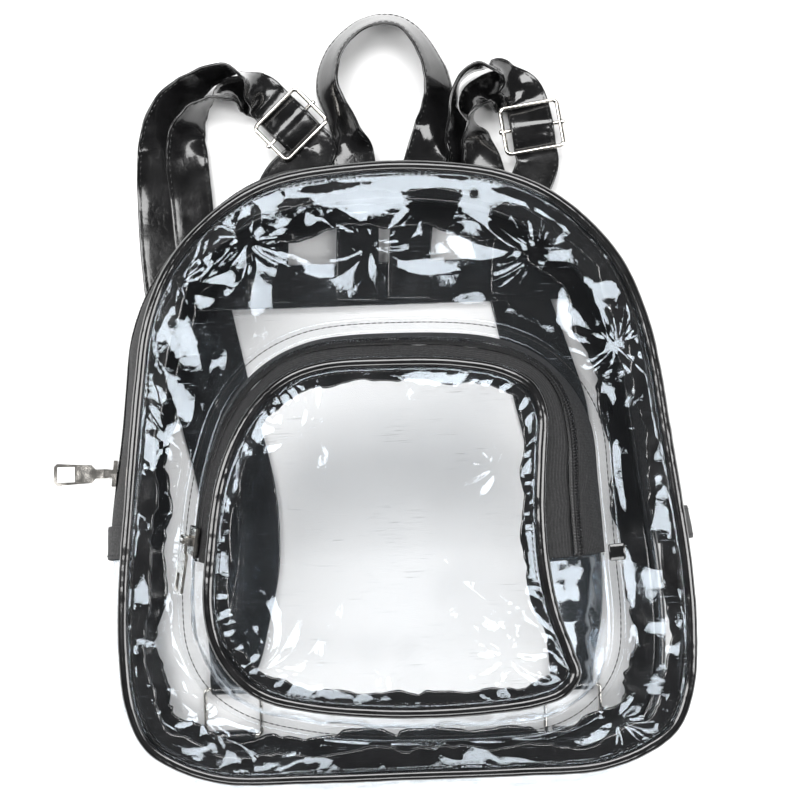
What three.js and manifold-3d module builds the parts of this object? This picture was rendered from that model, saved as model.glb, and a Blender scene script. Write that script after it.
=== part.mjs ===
// A small backpack of clear sheet with black trim, lying on its back.
// Millimetres. +Z points out of the front panel, +Y towards the handle, +X to the wearer's left.
// Shapes are drawn with Y measured from the bottom seam and Z from the floor, then the whole bag is moved
// so that the origin is at the bottom centre of its box.
import * as THREE from 'three';
import { mergeVertices } from 'three/addons/utils/BufferGeometryUtils.js';
import Module from 'manifold-3d';

const wasm = await Module();
wasm.setup();

// Body
const bodyWidth = 278;
const bodyHeight = 297;
const bodyDepth = 60;
const gussetBulge = 8;
const backDriftX = -6; // the back panel has slid this far against the front one
const backDriftY = -7;
const zipEndUp = 0.4; // share of the height where the zip gusset ends
const endTabWidth = 16;

// Pocket
const pocketWidth = 199;
const pocketHeight = 188;
const pocketDepth = 24;
const pocketOffsetX = -2.3; // middle of the pocket's seam from the middle of the bag
const pocketOffsetY = 26.7; // pocket's bottom seam above the bag's
const pocketBulge = 3.5;
const flangeWidth = 6;
const flangeGap = 1.6; // from the pocket wall's foot to the flange

// Sheets, tapes and piping
const sheetWall = 1;
const tapeWall = 1.2;
const bandWall = 1;
const pipingRadius = 2.8;
const frontStripWidth = 9; // raw seam allowance inside the piping
const backStripWidth = 13;
const pocketStripWidth = 6;
const coilWidth = 6;
const coilThickness = 2.2;

// Straps and metal
const strapWidth = 22;
const strapWall = 1.6;
const bandHeight = 23;
const bandUp = 233; // lower edge of the band above the bottom seam
const wireRadius = 1.1;
const buckleAcross = 32;
const buckleAlong = 26;
const buckleKnob = 2.4; // how far the centre bar sticks out past the frame
const ringAcross = 31;
const ringAlong = 27;
const cornerRadius = 2.5;
const pullLength = 26;
const pullWidth = 11;
const pullWall = 1.4;
const pinRadius = 0.8;
const sliderLength = 13;
const sliderWidth = 9;
const sliderBase = 2;
const lugWall = 1.2;
const lugGap = 4.4; // between the two lugs that hold the pin

const clearance = 0.3; // between pieces that touch
const wireClearance = 0.6; // between a strap and the wire that it goes round
const ribbonStep = 13; // length of strap between two sections
const ribbonTwist = 0.2; // most that a strap turns between two sections, in radians

// Heights above the floor, from the lowest strap layer up
const strapPitch = strapWall + clearance;
const bandBottom = 2 * strapPitch;
const legMiddle = bandBottom + bandWall + clearance + strapWall / 2;
const backSeamZ = legMiddle + strapWall / 2 + clearance + pipingRadius;
const frontSeamZ = backSeamZ + bodyDepth;
const panelSeat = pipingRadius / 2 + clearance; // from a seam's middle to the underside of its panel
const frontTopZ = frontSeamZ + panelSeat + sheetWall;
const pocketBaseZ = frontTopZ + clearance;
const pocketSeamZ = pocketBaseZ + pocketDepth;
const wrapRadius = wireRadius + wireClearance + strapWall / 2; // middle of a strap that goes round a wire
const ringZ = strapWall / 2 + wrapRadius;
const buckleZ = legMiddle + wrapRadius;

// Outlines run anticlockwise from the middle of the bottom edge.
// across is a share of half the width, up a share of the height.
const bodyOutline = [
  { across: 0, up: 0 },
  { across: 0.36, up: 0 },
  { across: 0.66, up: 0.005 },
  { across: 0.83, up: 0.033 },
  { across: 0.925, up: 0.067 },
  { across: 0.982, up: 0.13 },
  { across: 1, up: 0.22 },
  { across: 0.992, up: 0.33 },
  { across: 0.96, up: 0.46 },
  { across: 0.93, up: 0.57 },
  { across: 0.905, up: 0.66 },
  { across: 0.865, up: 0.745 },
  { across: 0.795, up: 0.825 },
  { across: 0.7, up: 0.885 },
  { across: 0.55, up: 0.945 },
  { across: 0.36, up: 0.983 },
  { across: 0.1, up: 1 },
  { across: -0.12, up: 1 },
  { across: -0.4, up: 0.983 },
  { across: -0.575, up: 0.945 },
  { across: -0.725, up: 0.885 },
  { across: -0.815, up: 0.825 },
  { across: -0.88, up: 0.745 },
  { across: -0.91, up: 0.66 },
  { across: -0.935, up: 0.57 },
  { across: -0.962, up: 0.46 },
  { across: -0.992, up: 0.33 },
  { across: -1, up: 0.22 },
  { across: -0.982, up: 0.13 },
  { across: -0.925, up: 0.067 },
  { across: -0.83, up: 0.033 },
  { across: -0.66, up: 0.005 },
  { across: -0.36, up: 0 },
];

// The pocket's seam on the front panel
const pocketSeamOutline = [
  { across: 0.06, up: 0 },
  { across: 0.4, up: 0 },
  { across: 0.68, up: 0.012 },
  { across: 0.83, up: 0.05 },
  { across: 0.93, up: 0.105 },
  { across: 0.985, up: 0.17 },
  { across: 1, up: 0.26 },
  { across: 0.985, up: 0.42 },
  { across: 0.965, up: 0.6 },
  { across: 0.94, up: 0.75 },
  { across: 0.85, up: 0.85 },
  { across: 0.7, up: 0.93 },
  { across: 0.48, up: 0.98 },
  { across: 0.05, up: 1 },
  { across: -0.4, up: 0.985 },
  { across: -0.64, up: 0.925 },
  { across: -0.8, up: 0.83 },
  { across: -0.915, up: 0.67 },
  { across: -0.975, up: 0.5 },
  { across: -1, up: 0.35 },
  { across: -0.985, up: 0.22 },
  { across: -0.9, up: 0.13 },
  { across: -0.74, up: 0.066 },
  { across: -0.45, up: 0.022 },
  { across: -0.2, up: 0.006 },
];

// The pocket's front edge, sagged towards the left so that its right wall leans inwards
const pocketFrontOutline = [
  { across: 0.06, up: 0.042 },
  { across: 0.35, up: 0.045 },
  { across: 0.62, up: 0.06 },
  { across: 0.755, up: 0.085 },
  { across: 0.825, up: 0.135 },
  { across: 0.795, up: 0.2 },
  { across: 0.735, up: 0.3 },
  { across: 0.7, up: 0.41 },
  { across: 0.69, up: 0.55 },
  { across: 0.705, up: 0.68 },
  { across: 0.715, up: 0.79 },
  { across: 0.66, up: 0.86 },
  { across: 0.52, up: 0.905 },
  { across: 0.3, up: 0.93 },
  { across: 0, up: 0.938 },
  { across: -0.33, up: 0.933 },
  { across: -0.5, up: 0.905 },
  { across: -0.64, up: 0.85 },
  { across: -0.76, up: 0.76 },
  { across: -0.85, up: 0.64 },
  { across: -0.905, up: 0.47 },
  { across: -0.925, up: 0.33 },
  { across: -0.89, up: 0.235 },
  { across: -0.8, up: 0.155 },
  { across: -0.67, up: 0.1 },
  { across: -0.44, up: 0.066 },
  { across: -0.16, up: 0.048 },
];

// Straps and handle. across is a share of the body's width, up of its height; lean is in degrees from flat;
// layer counts the strap layers under the strap's lower edge.
const leftLeg = [
  { across: -0.236, up: 0.79, lean: 0 },
  { across: -0.236, up: 0.865, lean: 0 },
  { across: -0.225, up: 0.952, lean: 0 },
  { across: -0.197, up: 1.008, lean: 0 },
];
const leftArch = [
  { across: -0.243, up: 1.162, lean: -142, layer: 2.4 },
  { across: -0.264, up: 1.183, lean: -104, layer: 2.4 },
  { across: -0.297, up: 1.194, lean: -84, layer: 2.7 },
  { across: -0.335, up: 1.184, lean: -72, layer: 1.5 },
  { across: -0.372, up: 1.164, lean: -56, layer: 0 },
  { across: -0.406, up: 1.135, lean: -48, layer: 0 },
  { across: -0.424, up: 1.098, lean: -34, layer: 0 },
  { across: -0.432, up: 1.055, lean: -14, layer: 0 },
  { across: -0.436, up: 0.978, lean: 0, layer: 0 },
  { across: -0.434, up: 0.891, lean: 0, layer: 0 },
  { across: -0.426, up: 0.803, lean: 0, layer: 0 },
  { across: -0.404, up: 0.716, lean: 0, layer: 0 },
  { across: -0.371, up: 0.592, lean: 0, layer: 0 },
  { across: -0.345, up: 0.487, lean: 0, layer: 0 },
  { across: -0.332, up: 0.399, lean: 0, layer: 0 },
  { across: -0.33, up: 0.3, lean: 0, layer: 0 },
  { across: -0.333, up: 0.2, lean: 0, layer: 0 },
];
const leftReturn = [
  { across: -0.313, up: 0.18, lean: 0, layer: 1.7 },
  { across: -0.292, up: 0.255, lean: 0, layer: 1 },
  { across: -0.274, up: 0.33, lean: 0, layer: 1 },
  { across: -0.271, up: 0.405, lean: 0, layer: 1 },
  { across: -0.279, up: 0.486, lean: 0, layer: 1 },
  { across: -0.302, up: 0.581, lean: 0, layer: 1 },
  { across: -0.32, up: 0.659, lean: 0, layer: 1 },
  { across: -0.35, up: 0.801, lean: 0, layer: 1 },
  { across: -0.367, up: 0.889, lean: 0, layer: 1 },
  { across: -0.374, up: 0.976, lean: 0, layer: 1 },
  { across: -0.378, up: 1.045, lean: 14, layer: 1 },
  { across: -0.376, up: 1.088, lean: 38, layer: 0.4 },
  { across: -0.358, up: 1.122, lean: 66, layer: 0 },
  { across: -0.332, up: 1.143, lean: 90, layer: 0 },
  { across: -0.306, up: 1.155, lean: 122, layer: 0 },
  { across: -0.28, up: 1.158, lean: 156, layer: 0 },
  { across: -0.255, up: 1.156, lean: 176, layer: 0.8 },
];
const rightLeg = [
  { across: 0.216, up: 0.79, lean: 0 },
  { across: 0.221, up: 0.849, lean: 0 },
  { across: 0.235, up: 0.936, lean: 0 },
  { across: 0.258, up: 0.98, lean: 0 },
];
const rightArch = [
  { across: 0.219, up: 1.163, lean: -148, layer: 1.9 },
  { across: 0.2, up: 1.178, lean: -108, layer: 3 },
  { across: 0.166, up: 1.184, lean: -90, layer: 3 },
  { across: 0.134, up: 1.165, lean: -90, layer: 2.6 },
  { across: 0.119, up: 1.12, lean: -80, layer: 1.4 },
  { across: 0.129, up: 1.065, lean: -44, layer: 0 },
  { across: 0.15, up: 1.015, lean: -10, layer: 0 },
  { across: 0.181, up: 0.905, lean: 0, layer: 0 },
  { across: 0.219, up: 0.776, lean: 0, layer: 0 },
  { across: 0.245, up: 0.653, lean: 0, layer: 0 },
  { across: 0.263, up: 0.575, lean: 0, layer: 0 },
  { across: 0.287, up: 0.479, lean: 0, layer: 0 },
  { across: 0.302, up: 0.375, lean: 0, layer: 0 },
  { across: 0.311, up: 0.26, lean: 0, layer: 0 },
  { across: 0.303, up: 0.17, lean: 0, layer: 0 },
];
const rightReturn = [
  { across: 0.309, up: 0.165, lean: 0, layer: 1.7 },
  { across: 0.326, up: 0.245, lean: 0, layer: 1 },
  { across: 0.326, up: 0.37, lean: 0, layer: 1 },
  { across: 0.318, up: 0.478, lean: 0, layer: 1 },
  { across: 0.312, up: 0.585, lean: 0, layer: 1 },
  { across: 0.294, up: 0.65, lean: 0, layer: 1 },
  { across: 0.25, up: 0.776, lean: 0, layer: 1 },
  { across: 0.205, up: 0.905, lean: 0, layer: 1 },
  { across: 0.172, up: 1.012, lean: 12, layer: 1.3 },
  { across: 0.16, up: 1.06, lean: 42, layer: 0.8 },
  { across: 0.154, up: 1.092, lean: 76, layer: 0 },
  { across: 0.161, up: 1.122, lean: 128, layer: 0 },
  { across: 0.179, up: 1.138, lean: 168, layer: 0.4 },
  { across: 0.208, up: 1.148, lean: 180, layer: 0.9 },
];
const handleRows = [
  { across: -0.071, up: 0.79, lean: 0 },
  { across: -0.068, up: 0.857, lean: 0 },
  { across: -0.064, up: 0.964, lean: 0 },
  { across: -0.068, up: 1.041, lean: -8 },
  { across: -0.081, up: 1.087, lean: -50 },
  { across: -0.1, up: 1.129, lean: -58 },
  { across: -0.112, up: 1.16, lean: -58 },
  { across: -0.109, up: 1.191, lean: -60 },
  { across: -0.097, up: 1.222, lean: -64 },
  { across: -0.075, up: 1.247, lean: -66 },
  { across: -0.043, up: 1.267, lean: -66 },
  { across: 0, up: 1.276, lean: -66 },
  { across: 0.035, up: 1.266, lean: -66 },
  { across: 0.06, up: 1.241, lean: -64 },
  { across: 0.078, up: 1.211, lean: -60 },
  { across: 0.09, up: 1.181, lean: -54 },
  { across: 0.094, up: 1.15, lean: -48 },
  { across: 0.092, up: 1.12, lean: -38 },
  { across: 0.083, up: 1.081, lean: -18 },
  { across: 0.068, up: 1.036, lean: 0 },
  { across: 0.043, up: 0.96, lean: 0 },
  { across: 0.028, up: 0.853, lean: 0 },
  { across: 0.025, up: 0.79, lean: 0 },
];

// Folds of the front panel between its edge and the pocket: around is a share of the outline, from the bottom
// middle; spread a share of the outline; rise a share of the body's depth; crest where it is highest, from 0
// at the edge to 1 at the pocket.
const panelFolds = [
  { around: 0.055, spread: 0.018, rise: 0.03, crest: 0.5 },
  { around: 0.17, spread: 0.016, rise: 0.06, crest: 0.4 },
  { around: 0.25, spread: 0.02, rise: 0.03, crest: 0.5 },
  { around: 0.33, spread: 0.018, rise: 0.05, crest: 0.45 },
  { around: 0.39, spread: 0.02, rise: 0.07, crest: 0.5 },
  { around: 0.45, spread: 0.02, rise: 0.06, crest: 0.6 },
  { around: 0.52, spread: 0.02, rise: 0.05, crest: 0.5 },
  { around: 0.57, spread: 0.018, rise: 0.07, crest: 0.55 },
  { around: 0.63, spread: 0.02, rise: 0.08, crest: 0.5 },
  { around: 0.7, spread: 0.02, rise: 0.05, crest: 0.5 },
  { around: 0.79, spread: 0.018, rise: 0.04, crest: 0.5 },
  { around: 0.88, spread: 0.02, rise: 0.05, crest: 0.4 },
  { around: 0.94, spread: 0.018, rise: 0.03, crest: 0.5 },
];

// Folds of the pocket's face: the same columns, from 0 at its edge to 1 at its middle
const pocketFolds = [
  { around: 0.12, spread: 0.03, rise: 0.1, crest: 0.35 },
  { around: 0.2, spread: 0.025, rise: 0.12, crest: 0.3 },
  { around: 0.46, spread: 0.03, rise: 0.06, crest: 0.3 },
  { around: 0.62, spread: 0.025, rise: 0.08, crest: 0.3 },
  { around: 0.9, spread: 0.03, rise: 0.1, crest: 0.35 },
];
const pocketSag = 0.16; // how far the middle of the pocket's face sinks, as a share of the pocket's depth

// Materials
const blackPatent = { color: 0x0b0b0c, roughness: 0.22, metalness: 0 };
const blackTape = { color: 0x111112, roughness: 0.7, metalness: 0 };
const nickel = { color: 0xb9b6ae, roughness: 0.25, metalness: 1 };
const clearSheet = { color: 0xe6edf0, roughness: 0.08, metalness: 0, transparent: true, opacity: 0.3 };

// Builds one closed body from sections with the same number of points. An open run gets flat ends.
// The two faces of a thin section are split along the same diagonal, so that a twist doesn't cross them.
function sweepBody(sections, closed) {
  const count = sections[0].length;
  const positions = sections.flat().flatMap((point) => [point.x, point.y, point.z]);
  const index = [];
  const rings = closed ? sections.length : sections.length - 1;
  for (let ring = 0; ring < rings; ring += 1) {
    const here = ring * count;
    const next = ((ring + 1) % sections.length) * count;
    for (let side = 0; side < count; side += 1) {
      const after = (side + 1) % count;
      if (side < count / 2) {
        index.push(here + side, here + after, next + after);
        index.push(here + side, next + after, next + side);
      } else {
        index.push(here + side, here + after, next + side);
        index.push(here + after, next + after, next + side);
      }
    }
  }
  if (!closed) {
    const last = (sections.length - 1) * count;
    for (let pair = 0; pair < count / 2 - 1; pair += 1) {
      const far = count - 1 - pair;
      index.push(pair, far, far - 1, pair, far - 1, pair + 1);
      index.push(last + pair, last + far - 1, last + far, last + pair, last + pair + 1, last + far - 1);
    }
  }
  return closedGeometry(positions, index);
}

// Builds a thin sheet from rings of points on its upper face, from its edge to its middle point.
function sheetBody(rings, middle, wall) {
  const count = rings[0].length;
  const upper = [...rings.flat(), middle];
  const lower = upper.map((point) => new THREE.Vector3(point.x, point.y, point.z - wall));
  const positions = [...upper, ...lower].flatMap((point) => [point.x, point.y, point.z]);
  const index = [];
  const under = upper.length;
  const centre = upper.length - 1;
  for (let side = 0; side < count; side += 1) {
    const after = (side + 1) % count;
    for (let ring = 0; ring < rings.length - 1; ring += 1) {
      const outer = ring * count;
      const inner = outer + count;
      index.push(outer + side, outer + after, inner + after, outer + side, inner + after, inner + side);
      index.push(under + outer + side, under + inner + after, under + outer + after);
      index.push(under + outer + side, under + inner + side, under + inner + after);
    }
    const last = (rings.length - 1) * count;
    index.push(last + side, last + after, centre);
    index.push(under + last + after, under + last + side, under + centre);
    index.push(side, under + after, after, side, under + side, under + after);
  }
  return closedGeometry(positions, index);
}

// Makes a geometry whose faces point outwards.
function closedGeometry(positions, index) {
  const corner = (place) => new THREE.Vector3().fromArray(positions, index[place] * 3);
  let volume = 0;
  for (let face = 0; face < index.length; face += 3) {
    volume += corner(face).dot(corner(face + 1).cross(corner(face + 2)));
  }
  if (volume < 0) {
    index.reverse();
  }
  const geometry = new THREE.BufferGeometry();
  geometry.setAttribute('position', new THREE.Float32BufferAttribute(positions, 3));
  geometry.setIndex(index);
  geometry.computeVertexNormals();
  return geometry;
}

function solidOf(geometry) {
  const bare = geometry.clone();
  bare.deleteAttribute('normal');
  bare.deleteAttribute('uv');
  const merged = mergeVertices(bare, 1e-4);
  const triVerts = new Uint32Array(merged.index.array);
  return new wasm.Manifold(new wasm.Mesh({ numProp: 3, vertProperties: merged.attributes.position.array, triVerts }));
}

// Joins closed geometries into one body.
function joined(geometries) {
  const whole = geometries.map(solidOf).reduce((sum, solid) => sum.add(solid));
  const mesh = whole.getMesh();
  return closedGeometry(Array.from(mesh.vertProperties), Array.from(mesh.triVerts));
}

// A closed outline from a table of shares, with the place and the outward direction at any share around it.
function outlineOf(rows, width, height, shiftX, shiftY) {
  const points = rows.map((row) => new THREE.Vector3(
    shiftX + (row.across * width) / 2,
    shiftY + row.up * height,
    0,
  ));
  const curve = new THREE.CatmullRomCurve3(points, true, 'centripetal');
  curve.arcLengthDivisions = 600;
  const wrap = (around) => ((around % 1) + 1) % 1;
  const smoothing = 0.012; // share of the outline over which a direction is averaged
  const place = (around) => curve.getPointAt(wrap(around));
  const along = (around) => {
    const ahead = curve.getTangentAt(wrap(around + smoothing));
    return ahead.add(curve.getTangentAt(wrap(around - smoothing))).normalize();
  };
  const outward = (around) => along(around).cross(new THREE.Vector3(0, 0, 1));
  return { place, along, outward, length: curve.getLength() };
}

// The share around an outline at which it passes a height, on its right or left side
function shareAtHeight(outline, height, side) {
  const steps = 400;
  for (let step = 0; step < steps; step += 1) {
    const share = side === 'right' ? (step / steps) * 0.5 : 1 - (step / steps) * 0.5;
    if (outline.place(share).y >= height) {
      return share;
    }
  }
  return 0.5;
}

// A wall between two outlines. point gives a place at a share around, a share up the wall, and a distance
// out of its face.
function wallBetween(low, high, lowZ, highZ, inset, bulge) {
  const frame = (around) => {
    const foot = low.place(around).addScaledVector(low.outward(around), -inset.low).setZ(lowZ);
    const head = high.place(around).addScaledVector(high.outward(around), -inset.high).setZ(highZ);
    const up = head.clone().sub(foot);
    const length = up.length();
    up.normalize();
    const out = low.along(around).cross(up).normalize();
    const along = up.clone().cross(out);
    return { foot, up, out, along, length };
  };
  const point = (around, share, distance) => {
    const { foot, up, out, length } = frame(around);
    const swell = bulge(around) * 4 * share * (1 - share);
    const place = foot.clone().addScaledVector(up, share * length).addScaledVector(out, swell + distance);
    return place.setZ(THREE.MathUtils.clamp(place.z, lowZ, highZ));
  };
  return { frame, point };
}

// A strip of a wall between two shares around and two shares up
function wallStrip(wall, from, to, lowShare, highShare, wallThickness, offset, steps, levels) {
  const sections = [];
  for (let step = 0; step <= steps; step += 1) {
    const around = from + ((to - from) * step) / steps;
    const outer = [];
    const inner = [];
    const low = typeof lowShare === 'function' ? lowShare(around) : lowShare;
    const high = typeof highShare === 'function' ? highShare(around) : highShare;
    for (let level = 0; level <= levels; level += 1) {
      const share = low + ((high - low) * level) / levels;
      outer.push(wall.point(around, share, offset));
      inner.push(wall.point(around, share, offset - wallThickness));
    }
    sections.push([...outer, ...inner.reverse()]);
  }
  return sweepBody(sections, false);
}

// A zip coil: a flattened tube that follows the middle of a wall
function wallCoil(wall, from, to, steps) {
  const sides = 6;
  const sections = [];
  for (let step = 0; step <= steps; step += 1) {
    const around = from + ((to - from) * step) / steps;
    const { up, out } = wall.frame(around);
    const middle = wall.point(around, 0.5, -tapeWall / 2);
    const section = [];
    for (let side = 0; side < sides; side += 1) {
      const turn = (side / sides) * Math.PI * 2;
      section.push(middle.clone()
        .addScaledVector(up, (Math.cos(turn) * coilWidth) / 2)
        .addScaledVector(out, (Math.sin(turn) * coilThickness) / 2));
    }
    sections.push(section);
  }
  return sweepBody(sections, false);
}

// How far up a wall a tape ends beside the coil
function tapeEnd(wall, side) {
  return (around) => 0.5 + (side * (coilWidth / 2 + clearance)) / wall.frame(around).length;
}

// Round piping with its seam allowance, a ragged strip on its inner side. face is 1 where the panel lies on
// top of the strip and -1 where it lies under it.
function pipingBody(outline, seamZ, stripWidth, face, steps) {
  const sides = 6;
  const sections = [];
  for (let step = 0; step < steps; step += 1) {
    const around = step / steps;
    const outward = outline.outward(around);
    const middle = outline.place(around).addScaledVector(outward, -pipingRadius).setZ(seamZ);
    const ragged = stripWidth * (1 + 0.14 * Math.sin(step * 2.4) + 0.1 * Math.sin(step * 1.1));
    const at = (across, rise) => middle.clone().addScaledVector(outward, across).setZ(seamZ + face * rise);
    const section = [];
    for (let side = 0; side < sides; side += 1) {
      const turn = Math.PI - Math.PI / sides - (side / sides) * Math.PI * 2;
      section.push(at(Math.cos(turn) * pipingRadius, Math.sin(turn) * pipingRadius));
    }
    section.push(at(-pipingRadius - ragged, -sheetWall));
    section.push(at(-pipingRadius - ragged, 0));
    sections.push(section);
  }
  return sweepBody(sections, true);
}

// The height of a sheet's folds at a share around and a share inwards
function foldHeight(folds, size, around, inward) {
  return folds.reduce((sum, fold) => {
    const gap = Math.abs(around - fold.around);
    const distance = Math.min(gap, 1 - gap) / fold.spread;
    const shape = inward < fold.crest ? inward / fold.crest : (1 - inward) / (1 - fold.crest);
    return sum + fold.rise * size * Math.exp(-distance * distance) * Math.sin((shape * Math.PI) / 2);
  }, 0);
}

// Rings of points between two closed runs of points
function ringsBetween(outer, inner, shares, height) {
  return shares.map((inward) => outer.map((point, place) => {
    const around = place / outer.length;
    const mixed = point.clone().lerp(inner[place], inward);
    mixed.z += height(around, inward);
    return mixed;
  }));
}

function loopOf(outline, inset, z, steps) {
  return Array.from({ length: steps }, (unused, step) => {
    const around = step / steps;
    return outline.place(around).addScaledVector(outline.outward(around), -inset).setZ(z);
  });
}

const body = outlineOf(bodyOutline, bodyWidth, bodyHeight, 0, 0);
const bodyBack = outlineOf(bodyOutline, bodyWidth, bodyHeight, backDriftX, backDriftY);
const pocketSeam = outlineOf(pocketSeamOutline, pocketWidth, pocketHeight, pocketOffsetX, pocketOffsetY);
const pocketFront = outlineOf(pocketFrontOutline, pocketWidth, pocketHeight, pocketOffsetX, pocketOffsetY);
const bodySteps = 54;
const pocketSteps = 48;

const edgeInset = 2 * pipingRadius + clearance; // from an outline to the edge of its panel
const wallInset = { low: pipingRadius, high: pipingRadius };
const bodyWall = wallBetween(
  bodyBack,
  body,
  backSeamZ + pipingRadius + clearance,
  frontSeamZ - pipingRadius - clearance,
  wallInset,
  (around) => gussetBulge * (1 + 0.12 * Math.sin(around * 60) + 0.1 * Math.sin(around * 37)),
);
const pocketWall = wallBetween(
  pocketSeam,
  pocketFront,
  pocketBaseZ,
  pocketSeamZ - pipingRadius - clearance,
  { low: 0, high: pipingRadius },
  () => pocketBulge,
);

const zipRight = shareAtHeight(body, zipEndUp * bodyHeight, 'right');
const zipLeft = shareAtHeight(body, zipEndUp * bodyHeight, 'left');
const bodySlit = clearance / body.length; // half the slit between the zip gusset and the clear wall
const tabShare = endTabWidth / 2 / body.length;

function frontPanel() {
  const z = frontTopZ;
  const edge = loopOf(body, edgeInset, z, bodySteps);
  const pocketEdge = loopOf(pocketSeam, -(flangeGap + flangeWidth), z, bodySteps);
  const height = (around, inward) => foldHeight(panelFolds, bodyDepth, around, inward);
  const rings = ringsBetween(edge, pocketEdge, [0, 0.3, 0.55, 0.8, 1], height);
  return sheetBody(rings, new THREE.Vector3(pocketOffsetX, pocketOffsetY + pocketHeight / 2, z), sheetWall);
}

function backPanel() {
  const z = backSeamZ - panelSeat;
  const edge = loopOf(bodyBack, edgeInset, z, bodySteps);
  const middle = new THREE.Vector3(backDriftX, backDriftY + bodyHeight / 2, z);
  return sheetBody([edge], middle, sheetWall);
}

function lowerGusset() {
  const from = zipLeft + bodySlit;
  return wallStrip(bodyWall, from, 1 + zipRight - bodySlit, 0, 1, sheetWall, 0, 30, 4);
}

function zipTape(side) {
  const end = tapeEnd(bodyWall, side);
  const shares = side < 0 ? [0, end] : [end, 1];
  return wallStrip(bodyWall, zipRight + bodySlit, zipLeft - bodySlit, shares[0], shares[1], tapeWall, 0, 32, 2);
}

function zipEndTab(middle) {
  const offset = tapeWall + coilThickness / 2;
  return wallStrip(bodyWall, middle - tabShare, middle + tabShare, 0.02, 0.98, tapeWall, offset, 3, 5);
}

function pocketPanel() {
  const z = pocketSeamZ + panelSeat + sheetWall;
  const edge = loopOf(pocketFront, edgeInset, z, pocketSteps);
  const middle = edge.reduce((sum, point) => sum.add(point), new THREE.Vector3()).divideScalar(pocketSteps);
  const inner = edge.map((point) => point.clone().lerp(middle, 0.7));
  const sag = (inward) => pocketDepth * pocketSag * Math.sin((inward * Math.PI) / 2) ** 2;
  const rise = (around, inward) => foldHeight(pocketFolds, pocketDepth, around, inward) - sag(inward);
  const rings = ringsBetween(edge, inner, [0, 0.3, 0.6, 1], rise);
  middle.z -= sag(1);
  return sheetBody(rings, middle, sheetWall);
}

function pocketFlange() {
  const sections = [];
  for (let step = 0; step < pocketSteps; step += 1) {
    const around = step / pocketSteps;
    const at = (out, rise) => pocketSeam.place(around)
      .addScaledVector(pocketSeam.outward(around), out)
      .setZ(pocketBaseZ + rise);
    const far = flangeGap + flangeWidth;
    sections.push([at(flangeGap, 0), at(far, 0), at(far, sheetWall), at(flangeGap, sheetWall)]);
  }
  return sweepBody(sections, true);
}

const pocketZipRightUp = 0.42; // shares of the pocket's height where its zip ends
const pocketZipLeftUp = 0.45;
const pocketZipRight = shareAtHeight(pocketSeam, pocketOffsetY + pocketHeight * pocketZipRightUp, 'right');
const pocketZipLeft = shareAtHeight(pocketSeam, pocketOffsetY + pocketHeight * pocketZipLeftUp, 'left');
const pocketSlit = clearance / pocketSeam.length;

function pocketTape(side) {
  const end = tapeEnd(pocketWall, side);
  const shares = side < 0 ? [0, end] : [end, 1];
  const from = pocketZipRight + pocketSlit;
  return wallStrip(pocketWall, from, pocketZipLeft - pocketSlit, shares[0], shares[1], tapeWall, 0, 26, 1);
}

function pocketClearGusset() {
  const from = pocketZipLeft + pocketSlit;
  return wallStrip(pocketWall, from, 1 + pocketZipRight - pocketSlit, 0, 1, sheetWall, 0, 26, 3);
}

// The end of the zip's tape, sticking out of the pocket's seam on the right
function pocketZipTail() {
  const size = 8;
  const out = pocketSeam.outward(pocketZipRight);
  const middle = pocketSeam.place(pocketZipRight).addScaledVector(out, flangeGap + size / 2);
  const geometry = new THREE.BoxGeometry(size, size, tapeWall);
  geometry.rotateZ(Math.atan2(out.y, out.x));
  geometry.translate(middle.x, middle.y, pocketBaseZ + sheetWall + clearance + tapeWall / 2);
  return geometry;
}

// A flat band across the back panel, cut to the slant of its sides
function backBand() {
  const edgeAt = (height, side) => {
    const share = shareAtHeight(bodyBack, height, side);
    return bodyBack.place(share).addScaledVector(bodyBack.outward(share), -pipingRadius);
  };
  const low = bandUp;
  const high = bandUp + bandHeight;
  const corners = [edgeAt(low, 'left'), edgeAt(low, 'right'), edgeAt(high, 'right'), edgeAt(high, 'left')];
  const shape = new THREE.Shape(corners.map((corner) => new THREE.Vector2(corner.x, corner.y)));
  const geometry = new THREE.ExtrudeGeometry(shape, { depth: bandWall, bevelEnabled: false });
  geometry.translate(0, 0, bandBottom);
  return geometry;
}

// Places along a strap from a table. Without a layer a row lies at the level of the legs, or on the floor
// where it leans further than that.
function routeOf(rows) {
  return rows.map((row) => {
    const lean = THREE.MathUtils.degToRad(row.lean);
    const half = (Math.abs(Math.sin(lean)) * strapWidth) / 2 + (Math.abs(Math.cos(lean)) * strapWall) / 2;
    const z = row.layer === undefined ? Math.max(legMiddle, half) : half + row.layer * strapPitch;
    return { place: new THREE.Vector3(row.across * bodyWidth, row.up * bodyHeight, z), lean };
  });
}

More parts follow.
